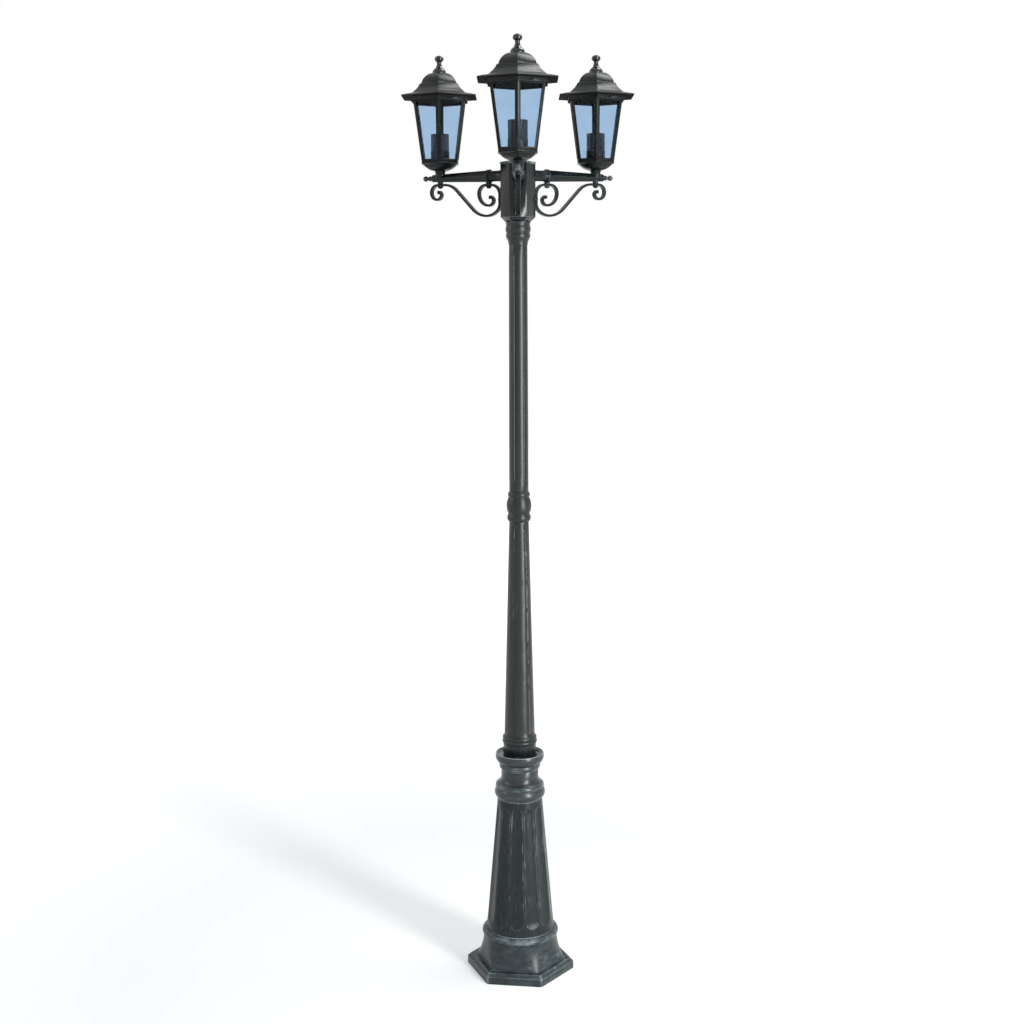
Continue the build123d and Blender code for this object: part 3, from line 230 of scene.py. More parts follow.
def enamel(name, colours, stroke_mm, glaze, edge_glaze_and_highlight, gloss, sheen=0.3, grain_mm=0.1):
    """Sprayed enamel under a wiped glaze, with a painted highlight on high edges. colours are those of the
    darkest enamel, where no glaze lies, of the enamel, and of the glaze, which on high edges is also the
    painted highlight; stroke_mm is the size of a wipe along X, Y and Z; glaze says how much stays on faces,
    and the edge glaze how much high edges are lightened, as rubbed glaze and painted highlight; gloss is the
    roughness of bare enamel and of glaze, sheen their specular level, and grain_mm the height of the cast skin."""
    finish, tree = new_finish(name)
    place = add_node(tree, "ShaderNodeTexCoord").outputs["Object"]
    strokes_at = add_node(tree, "ShaderNodeMapping", {"Vector": place, "Scale": [1000 / s for s in stroke_mm]})
    strokes = add_node(tree, "ShaderNodeTexNoise", {
        "Vector": strokes_at, "Scale": 1.0, "Detail": 5.0, "Roughness": 0.6}).outputs["Fac"]
    # clouds of glaze about 60 mm across, so that the wiping is uneven from place to place
    clouds = add_node(tree, "ShaderNodeTexNoise", {
        "Vector": place, "Scale": 1000 / 60, "Detail": 2.0}).outputs["Fac"]
    wiped = add_node(tree, "ShaderNodeMapRange", {
        "Value": strokes, "From Min": 0.38, "From Max": 0.72, "To Max": 2 * glaze})
    patches = add_node(tree, "ShaderNodeMath", {0: wiped, 1: clouds}, operation="MULTIPLY")
    # high edges are lightened toward the glaze colour: rubbed glaze and a painted highlight
    rub_and_highlight = add_node(tree, "ShaderNodeAttribute", attribute_name="rub_and_highlight").outputs["Fac"]
    uneven_rub_and_highlight = add_node(tree, "ShaderNodeMath", {0: rub_and_highlight, 1: clouds}, operation="MULTIPLY")
    glaze_and_highlight = add_node(tree, "ShaderNodeMath", {0: uneven_rub_and_highlight, 1: 2 * edge_glaze_and_highlight, 2: patches},
                      operation="MULTIPLY_ADD", use_clamp=True)
    ramp = add_node(tree, "ShaderNodeValToRGB", {"Fac": glaze_and_highlight})
    deep, bare, glaze_and_highlight_colour = colours
    ramp.color_ramp.elements[0].color = linear(deep)
    ramp.color_ramp.elements[1].color = linear(glaze_and_highlight_colour)
    ramp.color_ramp.elements.new(0.4).color = linear(bare)
    shine = add_node(tree, "ShaderNodeMapRange", {"Value": glaze_and_highlight, "To Min": gloss[0], "To Max": gloss[1]})
    # cast skin: grains of sand about 1.2 mm across, left by the mould under the enamel
    grain = add_node(tree, "ShaderNodeTexNoise", {
        "Vector": place, "Scale": 1000 / 1.2, "Detail": 2.0}).outputs["Fac"]
    skin = add_node(tree, "ShaderNodeBump", {"Height": grain, "Strength": 0.12, "Distance": grain_mm / 1000})
    paint = add_node(tree, "ShaderNodeBsdfPrincipled", {
        "Base Color": ramp, "Roughness": shine, "Normal": skin, "Specular IOR Level": sheen})
    add_node(tree, "ShaderNodeOutputMaterial", {"Surface": paint})
    return finish


# satin charcoal under a mottled grey bloom; the wipes are flat and run round, about 30 mm long
foot_enamel = enamel("charcoal enamel wiped round", ("#1d2326", "#384246", "#98a3a6"), stroke_mm=(30, 30, 12),
                     glaze=0.45, edge_glaze_and_highlight=0.8, gloss=(0.32, 0.42), sheen=0.35, grain_mm=0.2)
cast_piece("foot", foot_enamel, edge_round=0.0014)


# ---- foot bridge ----
# Steel bar with round ends under the ledge of the foot, cut from strip and zinc plated.
# The plating is dull grey with fine drawing lines along the bar, here drawn 1.5 mm apart so that they show.
def plated_steel(name, line_mm):
    """Zinc plate over drawn steel. line_mm is the spacing of the drawing lines along X, Y and Z."""
    finish, tree = new_finish(name)
    place = add_node(tree, "ShaderNodeTexCoord").outputs["Object"]
    lines_at = add_node(tree, "ShaderNodeMapping", {"Vector": place, "Scale": [1000 / s for s in line_mm]})
    lines = add_node(tree, "ShaderNodeTexNoise", {
        "Vector": lines_at, "Scale": 1.0, "Detail": 3.0}).outputs["Fac"]
    colour = add_node(tree, "ShaderNodeValToRGB", {"Fac": lines})
    colour.color_ramp.elements[0].color = linear("#84888a")
    colour.color_ramp.elements[1].color = linear("#bfc3c4")
    shine = add_node(tree, "ShaderNodeMapRange", {"Value": lines, "To Min": 0.28, "To Max": 0.48})
    metal = add_node(tree, "ShaderNodeBsdfPrincipled", {
        "Base Color": colour, "Metallic": 1.0, "Roughness": shine})
    add_node(tree, "ShaderNodeOutputMaterial", {"Surface": metal})
    return finish


def refinish(node, finish):
    """Gives a carried-over CAD node its material."""
    mesh = frame["nodes"][node].data
    mesh.materials.clear()
    mesh.materials.append(finish)


bridge_steel = plated_steel("zinc plated bar", line_mm=(40, 1.5, 1.5))
refinish("foot_bridge", bridge_steel)


# ---- pedestal ----
# Tapered casting with twelve round-ended flutes, standing in the mouth of the foot on a short spigot.
# Wiped upright after spraying, so that thin grey streaks run up the flutes; the ribs between them are lighter,
# rubbed glaze and a painted highlight.
def grow(name, tree, values, source=None):
    """Mesh that a geometry tree makes from these values of its named inputs."""
    seed = bpy.data.objects.new(name, source or bpy.data.meshes.new(name))
    growth = seed.modifiers.new(name, "NODES")
    growth.node_group = tree
    sockets = {s.name: s.identifier for s in tree.interface.items_tree if s.in_out == "INPUT"}
    for label, value in values.items():
        growth[sockets[label]] = value
    return evaluated_mesh(seed)


def new_shape(name, inputs):
    """A geometry tree with these named inputs, and the sockets that give them."""
    tree = bpy.data.node_groups.new(name, "GeometryNodeTree")
    tree.interface.new_socket("Geometry", in_out="OUTPUT", socket_type="NodeSocketGeometry")
    tree.interface.new_socket("Geometry", in_out="INPUT", socket_type="NodeSocketGeometry")
    for label, kind in inputs.items():
        tree.interface.new_socket(label, in_out="INPUT", socket_type="NodeSocket" + kind)
    return tree, add_node(tree, "NodeGroupInput").outputs


def finish_shape(tree, geometry, finish):
    """Ends a geometry tree: real mesh, one material."""
    real = add_node(tree, "GeometryNodeRealizeInstances", {"Geometry": geometry})
    painted = add_node(tree, "GeometryNodeSetMaterial", {"Geometry": real, "Material": finish})
    add_node(tree, "NodeGroupOutput", {0: painted})


def revolved_wall(tree, asked, rows, columns, outer_radius):
    """Closed round wall from the inputs Low, Height and Bore. outer_radius gives the outside from an angle
    and a height. A grid is wrapped round the axis: its rows climb the outside, cross the rim, come down the
    bore and close."""
    sheet = add_node(tree, "GeometryNodeMeshGrid", {
        "Size X": 1.0, "Size Y": 1.0, "Vertices X": columns + 1, "Vertices Y": rows + 4})
    cell = add_node(tree, "ShaderNodeSeparateXYZ", {0: add_node(tree, "GeometryNodeInputPosition")}).outputs
    way_round = add_node(tree, "ShaderNodeMath", {0: cell["X"], 1: 0.5}, operation="ADD")
    angle = add_node(tree, "ShaderNodeMath", {0: way_round, 1: 2 * math.pi}, operation="MULTIPLY")
    way_along = add_node(tree, "ShaderNodeMath", {0: cell["Y"], 1: 0.5}, operation="ADD")
    rows_along = add_node(tree, "ShaderNodeMath", {0: way_along, 1: rows + 3}, operation="MULTIPLY")
    row = add_node(tree, "ShaderNodeMath", {0: rows_along}, operation="ROUND")
    past_rim = add_node(tree, "ShaderNodeMath", {0: row, 1: rows + 0.5}, operation="GREATER_THAN")
    before_close = add_node(tree, "ShaderNodeMath", {0: row, 1: rows + 2.5}, operation="LESS_THAN")
    inside = add_node(tree, "ShaderNodeMath", {0: past_rim, 1: before_close}, operation="MULTIPLY")
    climbed = add_node(tree, "ShaderNodeMath", {0: row, 1: rows}, operation="DIVIDE", use_clamp=True)
    still_up = add_node(tree, "ShaderNodeMath", {0: row, 1: rows + 1.5}, operation="LESS_THAN")
    share = add_node(tree, "ShaderNodeMath", {0: climbed, 1: still_up}, operation="MULTIPLY")
    above = add_node(tree, "ShaderNodeMath", {0: share, 1: asked["Height"]}, operation="MULTIPLY")
    radius = add_node(tree, "ShaderNodeMix", {
        "Factor": inside, "A": outer_radius(angle, above), "B": asked["Bore"]})
    cosine = add_node(tree, "ShaderNodeMath", {0: angle}, operation="COSINE")
    sine = add_node(tree, "ShaderNodeMath", {0: angle}, operation="SINE")
    place = add_node(tree, "ShaderNodeCombineXYZ", {
        "X": add_node(tree, "ShaderNodeMath", {0: radius, 1: cosine}, operation="MULTIPLY"),
        "Y": add_node(tree, "ShaderNodeMath", {0: radius, 1: sine}, operation="MULTIPLY"),
        "Z": add_node(tree, "ShaderNodeMath", {0: above, 1: asked["Low"]}, operation="ADD")})
    wrapped = add_node(tree, "GeometryNodeSetPosition", {"Geometry": sheet, "Position": place})
    return add_node(tree, "GeometryNodeMergeByDistance", {"Geometry": wrapped, "Distance": 1e-5})


pedestal_tree, pedestal_asks = new_shape("fluted pedestal", {
    "Low": "Float", "Height": "Float", "Bottom Radius": "Float", "Top Radius": "Float", "Bore": "Float",
    "Flutes": "Int", "First Flute": "Float", "Rib": "Float", "Depth": "Float", "Low Margin": "Float",
    "High Margin": "Float"})


def fluted_radius(angle, above):
    """Cone radius less the depth of the round-ended flute that this angle and height lie in."""
    tree, asked = pedestal_tree, pedestal_asks
    spread = add_node(tree, "ShaderNodeMath", {0: asked["Top Radius"], 1: asked["Bottom Radius"]},
                      operation="SUBTRACT")
    taper = add_node(tree, "ShaderNodeMath", {0: spread, 1: asked["Height"]}, operation="DIVIDE")
    cone = add_node(tree, "ShaderNodeMath", {0: above, 1: taper, 2: asked["Bottom Radius"]},
                    operation="MULTIPLY_ADD")
    # half the width of a flute is half its share of the cone's girth, less half a rib
    half_pitch = add_node(tree, "ShaderNodeMath", {0: math.pi, 1: asked["Flutes"]}, operation="DIVIDE")
    half_share = add_node(tree, "ShaderNodeMath", {0: cone, 1: half_pitch}, operation="MULTIPLY")
    half_rib = add_node(tree, "ShaderNodeMath", {0: asked["Rib"], 1: 0.5}, operation="MULTIPLY")
    half_flute = add_node(tree, "ShaderNodeMath", {0: half_share, 1: half_rib}, operation="SUBTRACT")
    # distance sideways from the middle of the nearest flute
    turned = add_node(tree, "ShaderNodeMath", {0: angle, 1: asked["First Flute"]}, operation="SUBTRACT")
    off_middle = add_node(tree, "ShaderNodeMath", {0: turned, 1: half_pitch}, operation="PINGPONG")
    sideways = add_node(tree, "ShaderNodeMath", {0: off_middle, 1: cone}, operation="MULTIPLY")
    # distance beyond the centres of the flute's two round ends
    low_end = add_node(tree, "ShaderNodeMath", {0: asked["Low Margin"], 1: half_flute}, operation="ADD")
    short = add_node(tree, "ShaderNodeMath", {0: low_end, 1: above}, operation="SUBTRACT")
    top_gap = add_node(tree, "ShaderNodeMath", {0: asked["High Margin"], 1: half_flute}, operation="ADD")
    top_end = add_node(tree, "ShaderNodeMath", {0: asked["Height"], 1: top_gap}, operation="SUBTRACT")
    over = add_node(tree, "ShaderNodeMath", {0: above, 1: top_end}, operation="SUBTRACT")
    farther = add_node(tree, "ShaderNodeMath", {0: short, 1: over}, operation="MAXIMUM")
    beyond = add_node(tree, "ShaderNodeMath", {0: farther, 1: 0.0}, operation="MAXIMUM")
    # the flute is a round hollow, deepest in its middle
    offset = add_node(tree, "ShaderNodeCombineXYZ", {"X": sideways, "Y": beyond})
    off_axis = add_node(tree, "ShaderNodeVectorMath", {0: offset}, operation="LENGTH").outputs["Value"]
    ratio = add_node(tree, "ShaderNodeMath", {0: off_axis, 1: half_flute}, operation="DIVIDE", use_clamp=True)
    squared = add_node(tree, "ShaderNodeMath", {0: ratio, 1: ratio}, operation="MULTIPLY")
    deepest = add_node(tree, "ShaderNodeMath", {0: cone, 1: asked["Depth"]}, operation="SUBTRACT")
    return add_node(tree, "ShaderNodeMath", {0: squared, 1: asked["Depth"], 2: deepest},
                    operation="MULTIPLY_ADD")


# satin charcoal, wiped upright: streaks 2.4 mm wide and 60 mm long
pedestal_enamel = enamel("charcoal enamel wiped upright", ("#131819", "#293235", "#8d989b"),
                         stroke_mm=(2.4, 2.4, 60), glaze=0.4, edge_glaze_and_highlight=0.6, gloss=(0.30, 0.40), sheen=0.25,
                         grain_mm=0.2)
pedestal_wall = revolved_wall(pedestal_tree, pedestal_asks, rows=140, columns=384, outer_radius=fluted_radius)
finish_shape(pedestal_tree, pedestal_wall, pedestal_enamel)
pedestal_mesh = grow("fluted_pedestal", pedestal_tree, {
    "Low": 0.109, "Height": 0.349, "Bottom Radius": 0.0865, "Top Radius": 0.0565, "Bore": 0.0465, "Flutes": 12,
    "First Flute": math.radians(-7.3), "Rib": 0.0055, "Depth": 0.0032, "Low Margin": 0.022,
    "High Margin": 0.018})
pedestal_mesh.shade_smooth()
pedestal_mesh.set_sharp_from_angle(angle=math.radians(40))
mark_high_edges(pedestal_mesh)
seat(pedestal_mesh, "fluted_pedestal", pedestal_enamel, "cast_paint", "pedestal")

# ---- neck collar and cup collar ----
# Turned castings stacked on the pedestal: a torus and a waist, then a bead and the cup under the shaft.
# Wiped round and round on a turntable, so that the beads come out brighter than the hollows; their brightness
# is also a painted highlight.
collar_enamel = enamel("charcoal enamel wiped round, painted highlight on beads", ("#14181a", "#2c3336", "#98a3a6"),
                       stroke_mm=(40, 40, 2.4), glaze=0.3, edge_glaze_and_highlight=0.9, gloss=(0.28, 0.36), sheen=0.5)
cast_piece("neck_collar", collar_enamel, edge_round=0.0008)
cast_piece("cup_collar", collar_enamel, edge_round=0.0008)


# ---- cup screws ----
# Three domed steel screws with a cross slot, turned down through the face of the cup into the neck.
# They are enamelled with the post; the dark enamel is rubbed thin on the heads, which are lighter there with a
# painted highlight too, and stays black in the slots.
def screw_shape(name, finish):
    """Screws on the points of a mesh, turned to the points' attribute axis. The head stands on the point."""
    tree, asked = new_shape(name, {
        "Head Radius": "Float", "Head Height": "Float", "Shank Radius": "Float", "Shank Length": "Float",
        "Thread Pitch": "Float", "Slot Width": "Float", "Slot Depth": "Float"})
    # head: a flattened ball, less all below its middle and the two bars of the cross slot
    ball = add_node(tree, "GeometryNodeMeshUVSphere", {
        "Segments": 32, "Rings": 16, "Radius": asked["Head Radius"]})
    flatness = add_node(tree, "ShaderNodeMath", {0: asked["Head Height"], 1: asked["Head Radius"]},
                        operation="DIVIDE")
    flattened = add_node(tree, "ShaderNodeCombineXYZ", {"X": 1.0, "Y": 1.0, "Z": flatness})
    dome = add_node(tree, "GeometryNodeTransform", {"Geometry": ball, "Scale": flattened})
    trim_size = add_node(tree, "ShaderNodeMath", {0: asked["Head Radius"], 1: 3.0}, operation="MULTIPLY")
    trim = add_node(tree, "GeometryNodeMeshCube", {
        "Size": add_node(tree, "ShaderNodeCombineXYZ", {"X": trim_size, "Y": trim_size, "Z": trim_size})})
    trim_drop = add_node(tree, "ShaderNodeMath", {0: trim_size, 1: -0.5}, operation="MULTIPLY")
    under = add_node(tree, "GeometryNodeTransform", {
        "Geometry": trim, "Translation": add_node(tree, "ShaderNodeCombineXYZ", {"Z": trim_drop})})
    slot_length = add_node(tree, "ShaderNodeMath", {0: asked["Head Radius"], 1: 1.3}, operation="MULTIPLY")
    slot_height = add_node(tree, "ShaderNodeMath", {0: asked["Slot Depth"], 1: 2.0}, operation="MULTIPLY")
    slot_bar = add_node(tree, "GeometryNodeMeshCube", {"Size": add_node(tree, "ShaderNodeCombineXYZ", {
        "X": slot_length, "Y": asked["Slot Width"], "Z": slot_height})})
    slot_rise = add_node(tree, "ShaderNodeCombineXYZ", {"Z": asked["Head Height"]})
    head = add_node(tree, "GeometryNodeMeshBoolean", {"Mesh 1": dome}, operation="DIFFERENCE")
    tree.links.new(under.outputs[0], head.inputs["Mesh 2"])
    for quarter in (0, math.pi / 2):
        slot = add_node(tree, "GeometryNodeTransform", {
            "Geometry": slot_bar, "Translation": slot_rise, "Rotation": (0, 0, quarter)})
        tree.links.new(slot.outputs[0], head.inputs["Mesh 2"])
    # shank: a plain round stem with a three-sided ridge wound round it for the thread
    shank = add_node(tree, "GeometryNodeMeshCylinder", {
        "Vertices": 24, "Radius": asked["Shank Radius"], "Depth": asked["Shank Length"]})
    shank_drop = add_node(tree, "ShaderNodeMath", {0: asked["Shank Length"], 1: -0.5}, operation="MULTIPLY")
    stem = add_node(tree, "GeometryNodeTransform", {
        "Geometry": shank, "Translation": add_node(tree, "ShaderNodeCombineXYZ", {"Z": shank_drop})})
    turns = add_node(tree, "ShaderNodeMath", {0: asked["Shank Length"], 1: asked["Thread Pitch"]},
                     operation="DIVIDE")
    thread_length = add_node(tree, "ShaderNodeMath", {0: asked["Shank Length"], 1: 0.94}, operation="MULTIPLY")
    helix = add_node(tree, "GeometryNodeCurveSpiral", {
        "Resolution": 16, "Rotations": turns, "Start Radius": asked["Shank Radius"],
        "End Radius": asked["Shank Radius"], "Height": thread_length})
    ridge_radius = add_node(tree, "ShaderNodeMath", {0: asked["Thread Pitch"], 1: 0.25}, operation="MULTIPLY")
    ridge = add_node(tree, "GeometryNodeCurvePrimitiveCircle", {"Resolution": 3, "Radius": ridge_radius})
    thread = add_node(tree, "GeometryNodeCurveToMesh", {
        "Curve": helix, "Profile Curve": ridge, "Fill Caps": True})
    thread_drop = add_node(tree, "ShaderNodeMath", {0: asked["Shank Length"], 1: -0.97}, operation="MULTIPLY")
    cut_thread = add_node(tree, "GeometryNodeTransform", {
        "Geometry": thread, "Translation": add_node(tree, "ShaderNodeCombineXYZ", {"Z": thread_drop})})
    screw = add_node(tree, "GeometryNodeJoinGeometry")
    for piece in (head, stem, cut_thread):
        tree.links.new(piece.outputs[0], screw.inputs[0])
    axis = add_node(tree, "GeometryNodeInputNamedAttribute", {"Name": "axis"}, data_type="FLOAT_VECTOR")
    facing = add_node(tree, "FunctionNodeAlignRotationToVector", {"Vector": axis}, axis="Z")
    placed = add_node(tree, "GeometryNodeInstanceOnPoints", {
        "Points": asked["Geometry"], "Instance": screw, "Rotation": facing})
    finish_shape(tree, placed, finish)
    return tree


def screw_points(places):
    """Mesh of bare points, each with the attribute axis, from pairs of place and direction."""
    mesh = bpy.data.meshes.new("screw places")
    mesh.from_pydata([place for place, axis in places], [], [])
    axes = mesh.attributes.new("axis", "FLOAT_VECTOR", "POINT")
    axes.data.foreach_set("vector", [value for place, axis in places for value in axis])
    return mesh


def all_round(radius, count, first_degrees, height):
    """Places at equal steps round the axis, with their outward directions."""
    spots = []
    for step in range(count):
        angle = math.radians(first_degrees + 360 / count * step)
        outward = Vector((math.cos(angle), math.sin(angle), 0))
        spots.append((outward * radius + Vector((0, 0, height)), outward))
    return spots


# satin black in dabs 3 mm wide, a little greyer where it is rubbed and where a highlight is painted on the
# domes
screw_enamel = enamel("charcoal enamel on screw heads", ("#101315", "#2c3336", "#6d7679"), stroke_mm=(3, 3, 3),
                      glaze=0.4, edge_glaze_and_highlight=0.2, gloss=(0.25, 0.35))
screw_tree = screw_shape("cross slot screws", screw_enamel)
cup_places = [(place, (0, 0, 1))
              for place, outward in all_round(radius=0.0495, count=3, first_degrees=-97.3, height=0.572)]
cup_mesh = grow("cup_screw_set", screw_tree, {
    "Head Radius": 0.0045, "Head Height": 0.0035, "Shank Radius": 0.0022, "Shank Length": 0.0108,
    "Thread Pitch": 0.0009, "Slot Width": 0.0011, "Slot Depth": 0.0016}, screw_points(cup_places))
mark_high_edges(cup_mesh)
seat(cup_mesh, "cup_screw_set", screw_enamel, "plated_steel", "cup_screws")

# ---- lower shaft, knop, upper shaft and top collar ----
# Two tapered cast tubes with six shallow grooves, joined by a turned ball and topped by a cone with two beads.
# All are dipped in charcoal enamel, which dries satin down the tubes; the beads take a little grey glaze and a
# painted highlight.
shaft_enamel = enamel("charcoal enamel run down the shaft", ("#0a0e0e", "#172020", "#7d8f8c"),
                      stroke_mm=(4, 4, 140), glaze=0.2, edge_glaze_and_highlight=0.4, gloss=(0.34, 0.42), sheen=0.42)
for node in ("lower_shaft", "knop", "upper_shaft", "top_collar"):
    cast_piece(node, shaft_enamel, edge_round=0.0006)

# ---- hub and its cap ----
# Six-sided hollow casting that takes the three arms, closed by a flat lid. Thick enamel pools glossy on its
# faces and draws thin over the corners, where the grey glaze catches; the light corners are also a painted
# highlight.
hub_enamel = enamel("charcoal enamel pooled on flats", ("#0b0d0f", "#1d2326", "#9aa4a7"),
                    stroke_mm=(26, 26, 60), glaze=0.16, edge_glaze_and_highlight=0.9, gloss=(0.16, 0.26))
cast_piece("hub", hub_enamel, edge_round=0.0012)
cast_piece("hub_cap", hub_enamel, edge_round=0.0010)

# ---- tie rod and its nuts ----
# A long threaded steel rod inside the column, with a nut under the foot bridge and one on the hub floor.
# Zinc plated like the bridge; the faint lines in the plating run up the rod.
rod_steel = plated_steel("zinc plated rod", line_mm=(1.5, 1.5, 30))
refinish("tie_rod", rod_steel)
refinish("tie_nuts", rod_steel)

# ---- arms, tips and arm nuts ----
# Tapered six-sided cast tubes screwed into the hub, each ending in a turned ball; thin nuts hold them inside.
# The same dipped enamel, with the six long edges lighter: rubbed through, and a painted highlight.
arm_turns = {"front": -90, "right": 30, "left": 150}  # degrees round the post
arm_enamel = enamel("charcoal enamel on the arms", ("#0d1011", "#1f2528", "#8f999c"), stroke_mm=(18, 18, 6),
                    glaze=0.18, edge_glaze_and_highlight=0.5, gloss=(0.18, 0.30), sheen=0.2)
for side in arm_turns:
    cast_piece("arm_" + side, arm_enamel, edge_round=0.0006)
    cast_piece("arm_tip_" + side, arm_enamel, edge_round=0.0004)
nut_steel = plated_steel("zinc plated nuts", line_mm=(3, 3, 3))
refinish("arm_nuts", nut_steel)


# ---- scroll brackets ----
# Flat iron bar, 12 by 5.8 mm, bent cold round formers from the outer curl over both clips to the inner curl,
# its ends rolled up. Lengths run outwards from the post (u) and up (z), in metres.
def outward_of(side):
    """Level direction from the post to the lantern on this side."""
    turn = math.radians(arm_turns[side])
    return Vector((math.cos(turn), math.sin(turn), 0))


def arc_points(points, heading, radius, turn_degrees, steps=14):
    """Carries a course on round an arc; a positive turn goes to the left. Gives the new heading."""
    start = points[-1]
    bend = math.copysign(radius, turn_degrees)
    centre = (start[0] - bend * math.sin(heading), start[1] + bend * math.cos(heading))
    for step in range(1, steps + 1):
        at = heading + math.radians(turn_degrees) * step / steps
        points.append((centre[0] + bend * math.sin(at), centre[1] - bend * math.cos(at)))
    return heading + math.radians(turn_degrees)


bar_thickness, bar_width = 0.0058, 0.012
arm_height, reach = 2.007, 0.221
hub_apothem, pad_height = 0.0364, 0.010
outer_crest, inner_crest, low_point = arm_height - 0.0165, arm_height - 0.0205, arm_height - 0.094
clip_width, inner_clip = 0.0075, 0.0815
shoulder, belly, low_rise, high_rise, return_bend = 0.048, 0.058, 0.042, 0.023, 0.0245
slope = math.radians(45)
wall_at = hub_apothem + pad_height + bar_thickness / 2
belly_at = wall_at + low_rise * math.sin(slope) + high_rise * (1 - math.sin(slope))
slant = (outer_crest - low_point - (shoulder + belly) * (1 - math.cos(slope))) / math.sin(slope)
shoulder_at = belly_at + (shoulder + belly) * math.sin(slope) + slant * math.cos(slope)

# from the outer clip down the slant, up the hub's pad and over the inner clip into the inner curl
course = [(reach + clip_width, outer_crest), (shoulder_at, outer_crest)]
heading = arc_points(course, math.pi, shoulder, 45)
course.append((course[-1][0] + slant * math.cos(heading), course[-1][1] + slant * math.sin(heading)))
for radius in (belly, low_rise, high_rise):
    heading = arc_points(course, heading, radius, -45)
course.append((wall_at, inner_crest - return_bend))
heading = arc_points(course, math.pi / 2, return_bend, -90)
course.append((inner_clip + clip_width, inner_crest))
for radius in (0.020, 0.029, 0.0125, 0.007):
    heading = arc_points(course, heading, radius, -90)
# the outer curl starts at the outer clip and is put in front, back to front
outer_curl = [(reach + clip_width, outer_crest)]
heading = 0
for radius in (0.018, 0.017, 0.012, 0.0055):
    heading = arc_points(outer_curl, heading, radius, -90)
course = outer_curl[:0:-1] + course

scroll_tree, scroll_asks = new_shape("flat bar along a course", {
    "Width": "Float", "Thickness": "Float", "Corner": "Float", "End Radius": "Float", "Across": "Vector"})
path = add_node(scroll_tree, "GeometryNodeMeshToCurve", {"Mesh": scroll_asks["Geometry"]})
steady = add_node(scroll_tree, "GeometryNodeSetCurveNormal", {"Curve": path, "Normal": scroll_asks["Across"]},
                  mode="FREE")
section = add_node(scroll_tree, "GeometryNodeCurvePrimitiveQuadrilateral", {
    "Width": scroll_asks["Width"], "Height": scroll_asks["Thickness"]})
eased = add_node(scroll_tree, "GeometryNodeFilletCurve", {"Curve": section, "Radius": scroll_asks["Corner"]})
bar = add_node(scroll_tree, "GeometryNodeCurveToMesh", {
    "Curve": steady, "Profile Curve": eased, "Fill Caps": True})
roll = add_node(scroll_tree, "GeometryNodeMeshCylinder", {
    "Vertices": 32, "Radius": scroll_asks["End Radius"], "Depth": scroll_asks["Width"]})
roll_facing = add_node(scroll_tree, "FunctionNodeAlignRotationToVector", {"Vector": scroll_asks["Across"]},
                       axis="Z")
ends = add_node(scroll_tree, "GeometryNodeCurveEndpointSelection")
rolls = add_node(scroll_tree, "GeometryNodeInstanceOnPoints", {
    "Points": path, "Selection": ends, "Instance": roll, "Rotation": roll_facing})
bent_bar = add_node(scroll_tree, "GeometryNodeJoinGeometry")
for piece in (bar, rolls):
    scroll_tree.links.new(piece.outputs[0], bent_bar.inputs[0])
# black enamel with a soft gloss, a little grey on the long edges as rubbed glaze and painted highlight
scroll_enamel = enamel("charcoal enamel on bent bar", ("#0b0d0e", "#1a2022", "#8b9598"), stroke_mm=(14, 14, 5),
                       glaze=0.14, edge_glaze_and_highlight=0.4, gloss=(0.22, 0.32), sheen=0.2)
finish_shape(scroll_tree, bent_bar, scroll_enamel)
for side in arm_turns:
    course_mesh = bpy.data.meshes.new("course")
    course_mesh.from_pydata([outward_of(side) * u + Vector((0, 0, z)) for u, z in course],
                            [(i, i + 1) for i in range(len(course) - 1)], [])
    scroll_mesh = grow("bent_scroll_" + side, scroll_tree, {
        "Width": bar_width, "Thickness": bar_thickness, "Corner": 0.0009, "End Radius": 0.0046,
        "Across": outward_of(side).cross(Vector((0, 0, 1)))}, course_mesh)
    scroll_mesh.shade_smooth()
    scroll_mesh.set_sharp_from_angle(angle=math.radians(35))
    mark_high_edges(scroll_mesh)
    seat(scroll_mesh, "bent_scroll_" + side, scroll_enamel, "cast_paint", "scroll_" + side)

# ---- scroll bolts and scroll screws ----
# Domed bolts clamp each scroll under the arm at two places, and one cross slot screw holds it to the hub.
# They are painted in place, so their heads are as dark as the bar.
cast_piece("scroll_bolts", scroll_enamel, edge_round=0.0005)
wall_low = low_point + low_rise * (1 - math.cos(slope)) + high_rise * math.cos(slope)
screw_height = (wall_low + inner_crest - return_bend) / 2
pad_places = all_round(radius=wall_at + bar_thickness / 2, count=3, first_degrees=-90, height=screw_height)
pad_mesh = grow("scroll_screw_set", screw_tree, {
    "Head Radius": 0.0045, "Head Height": 0.003, "Shank Radius": 0.0018, "Shank Length": 0.0155,
    "Thread Pitch": 0.0008, "Slot Width": 0.001, "Slot Depth": 0.0014}, screw_points(pad_places))
mark_high_edges(pad_mesh)
seat(pad_mesh, "scroll_screw_set", screw_enamel, "plated_steel", "scroll_screws")

# ---- lantern stems: nipples and nuts ----
# Short threaded steel tubes that lead the wires from each arm through the pan, each with a thin nut under the
# lampholder.
# Zinc plated; they stay hidden inside the castings.
refinish("stem_nipples", nut_steel)
refinish("stem_nuts", nut_steel)

# ---- lantern base ----
# Six-sided shallow bowl on a short round stem, cast in one piece and screwed down on the arm by the nipple.
# Dipped enamel with a soft gloss, its rim lighter: rubbed, and a painted highlight.
lantern_enamel = enamel("charcoal enamel on the lantern", ("#0b0e0f", "#1a2022", "#737e81"),
                        stroke_mm=(22, 22, 10), glaze=0.14, edge_glaze_and_highlight=0.35, gloss=(0.26, 0.36), sheen=0.15)
for side in arm_turns:
    cast_piece("lantern_base_" + side, lantern_enamel, edge_round=0.0007)
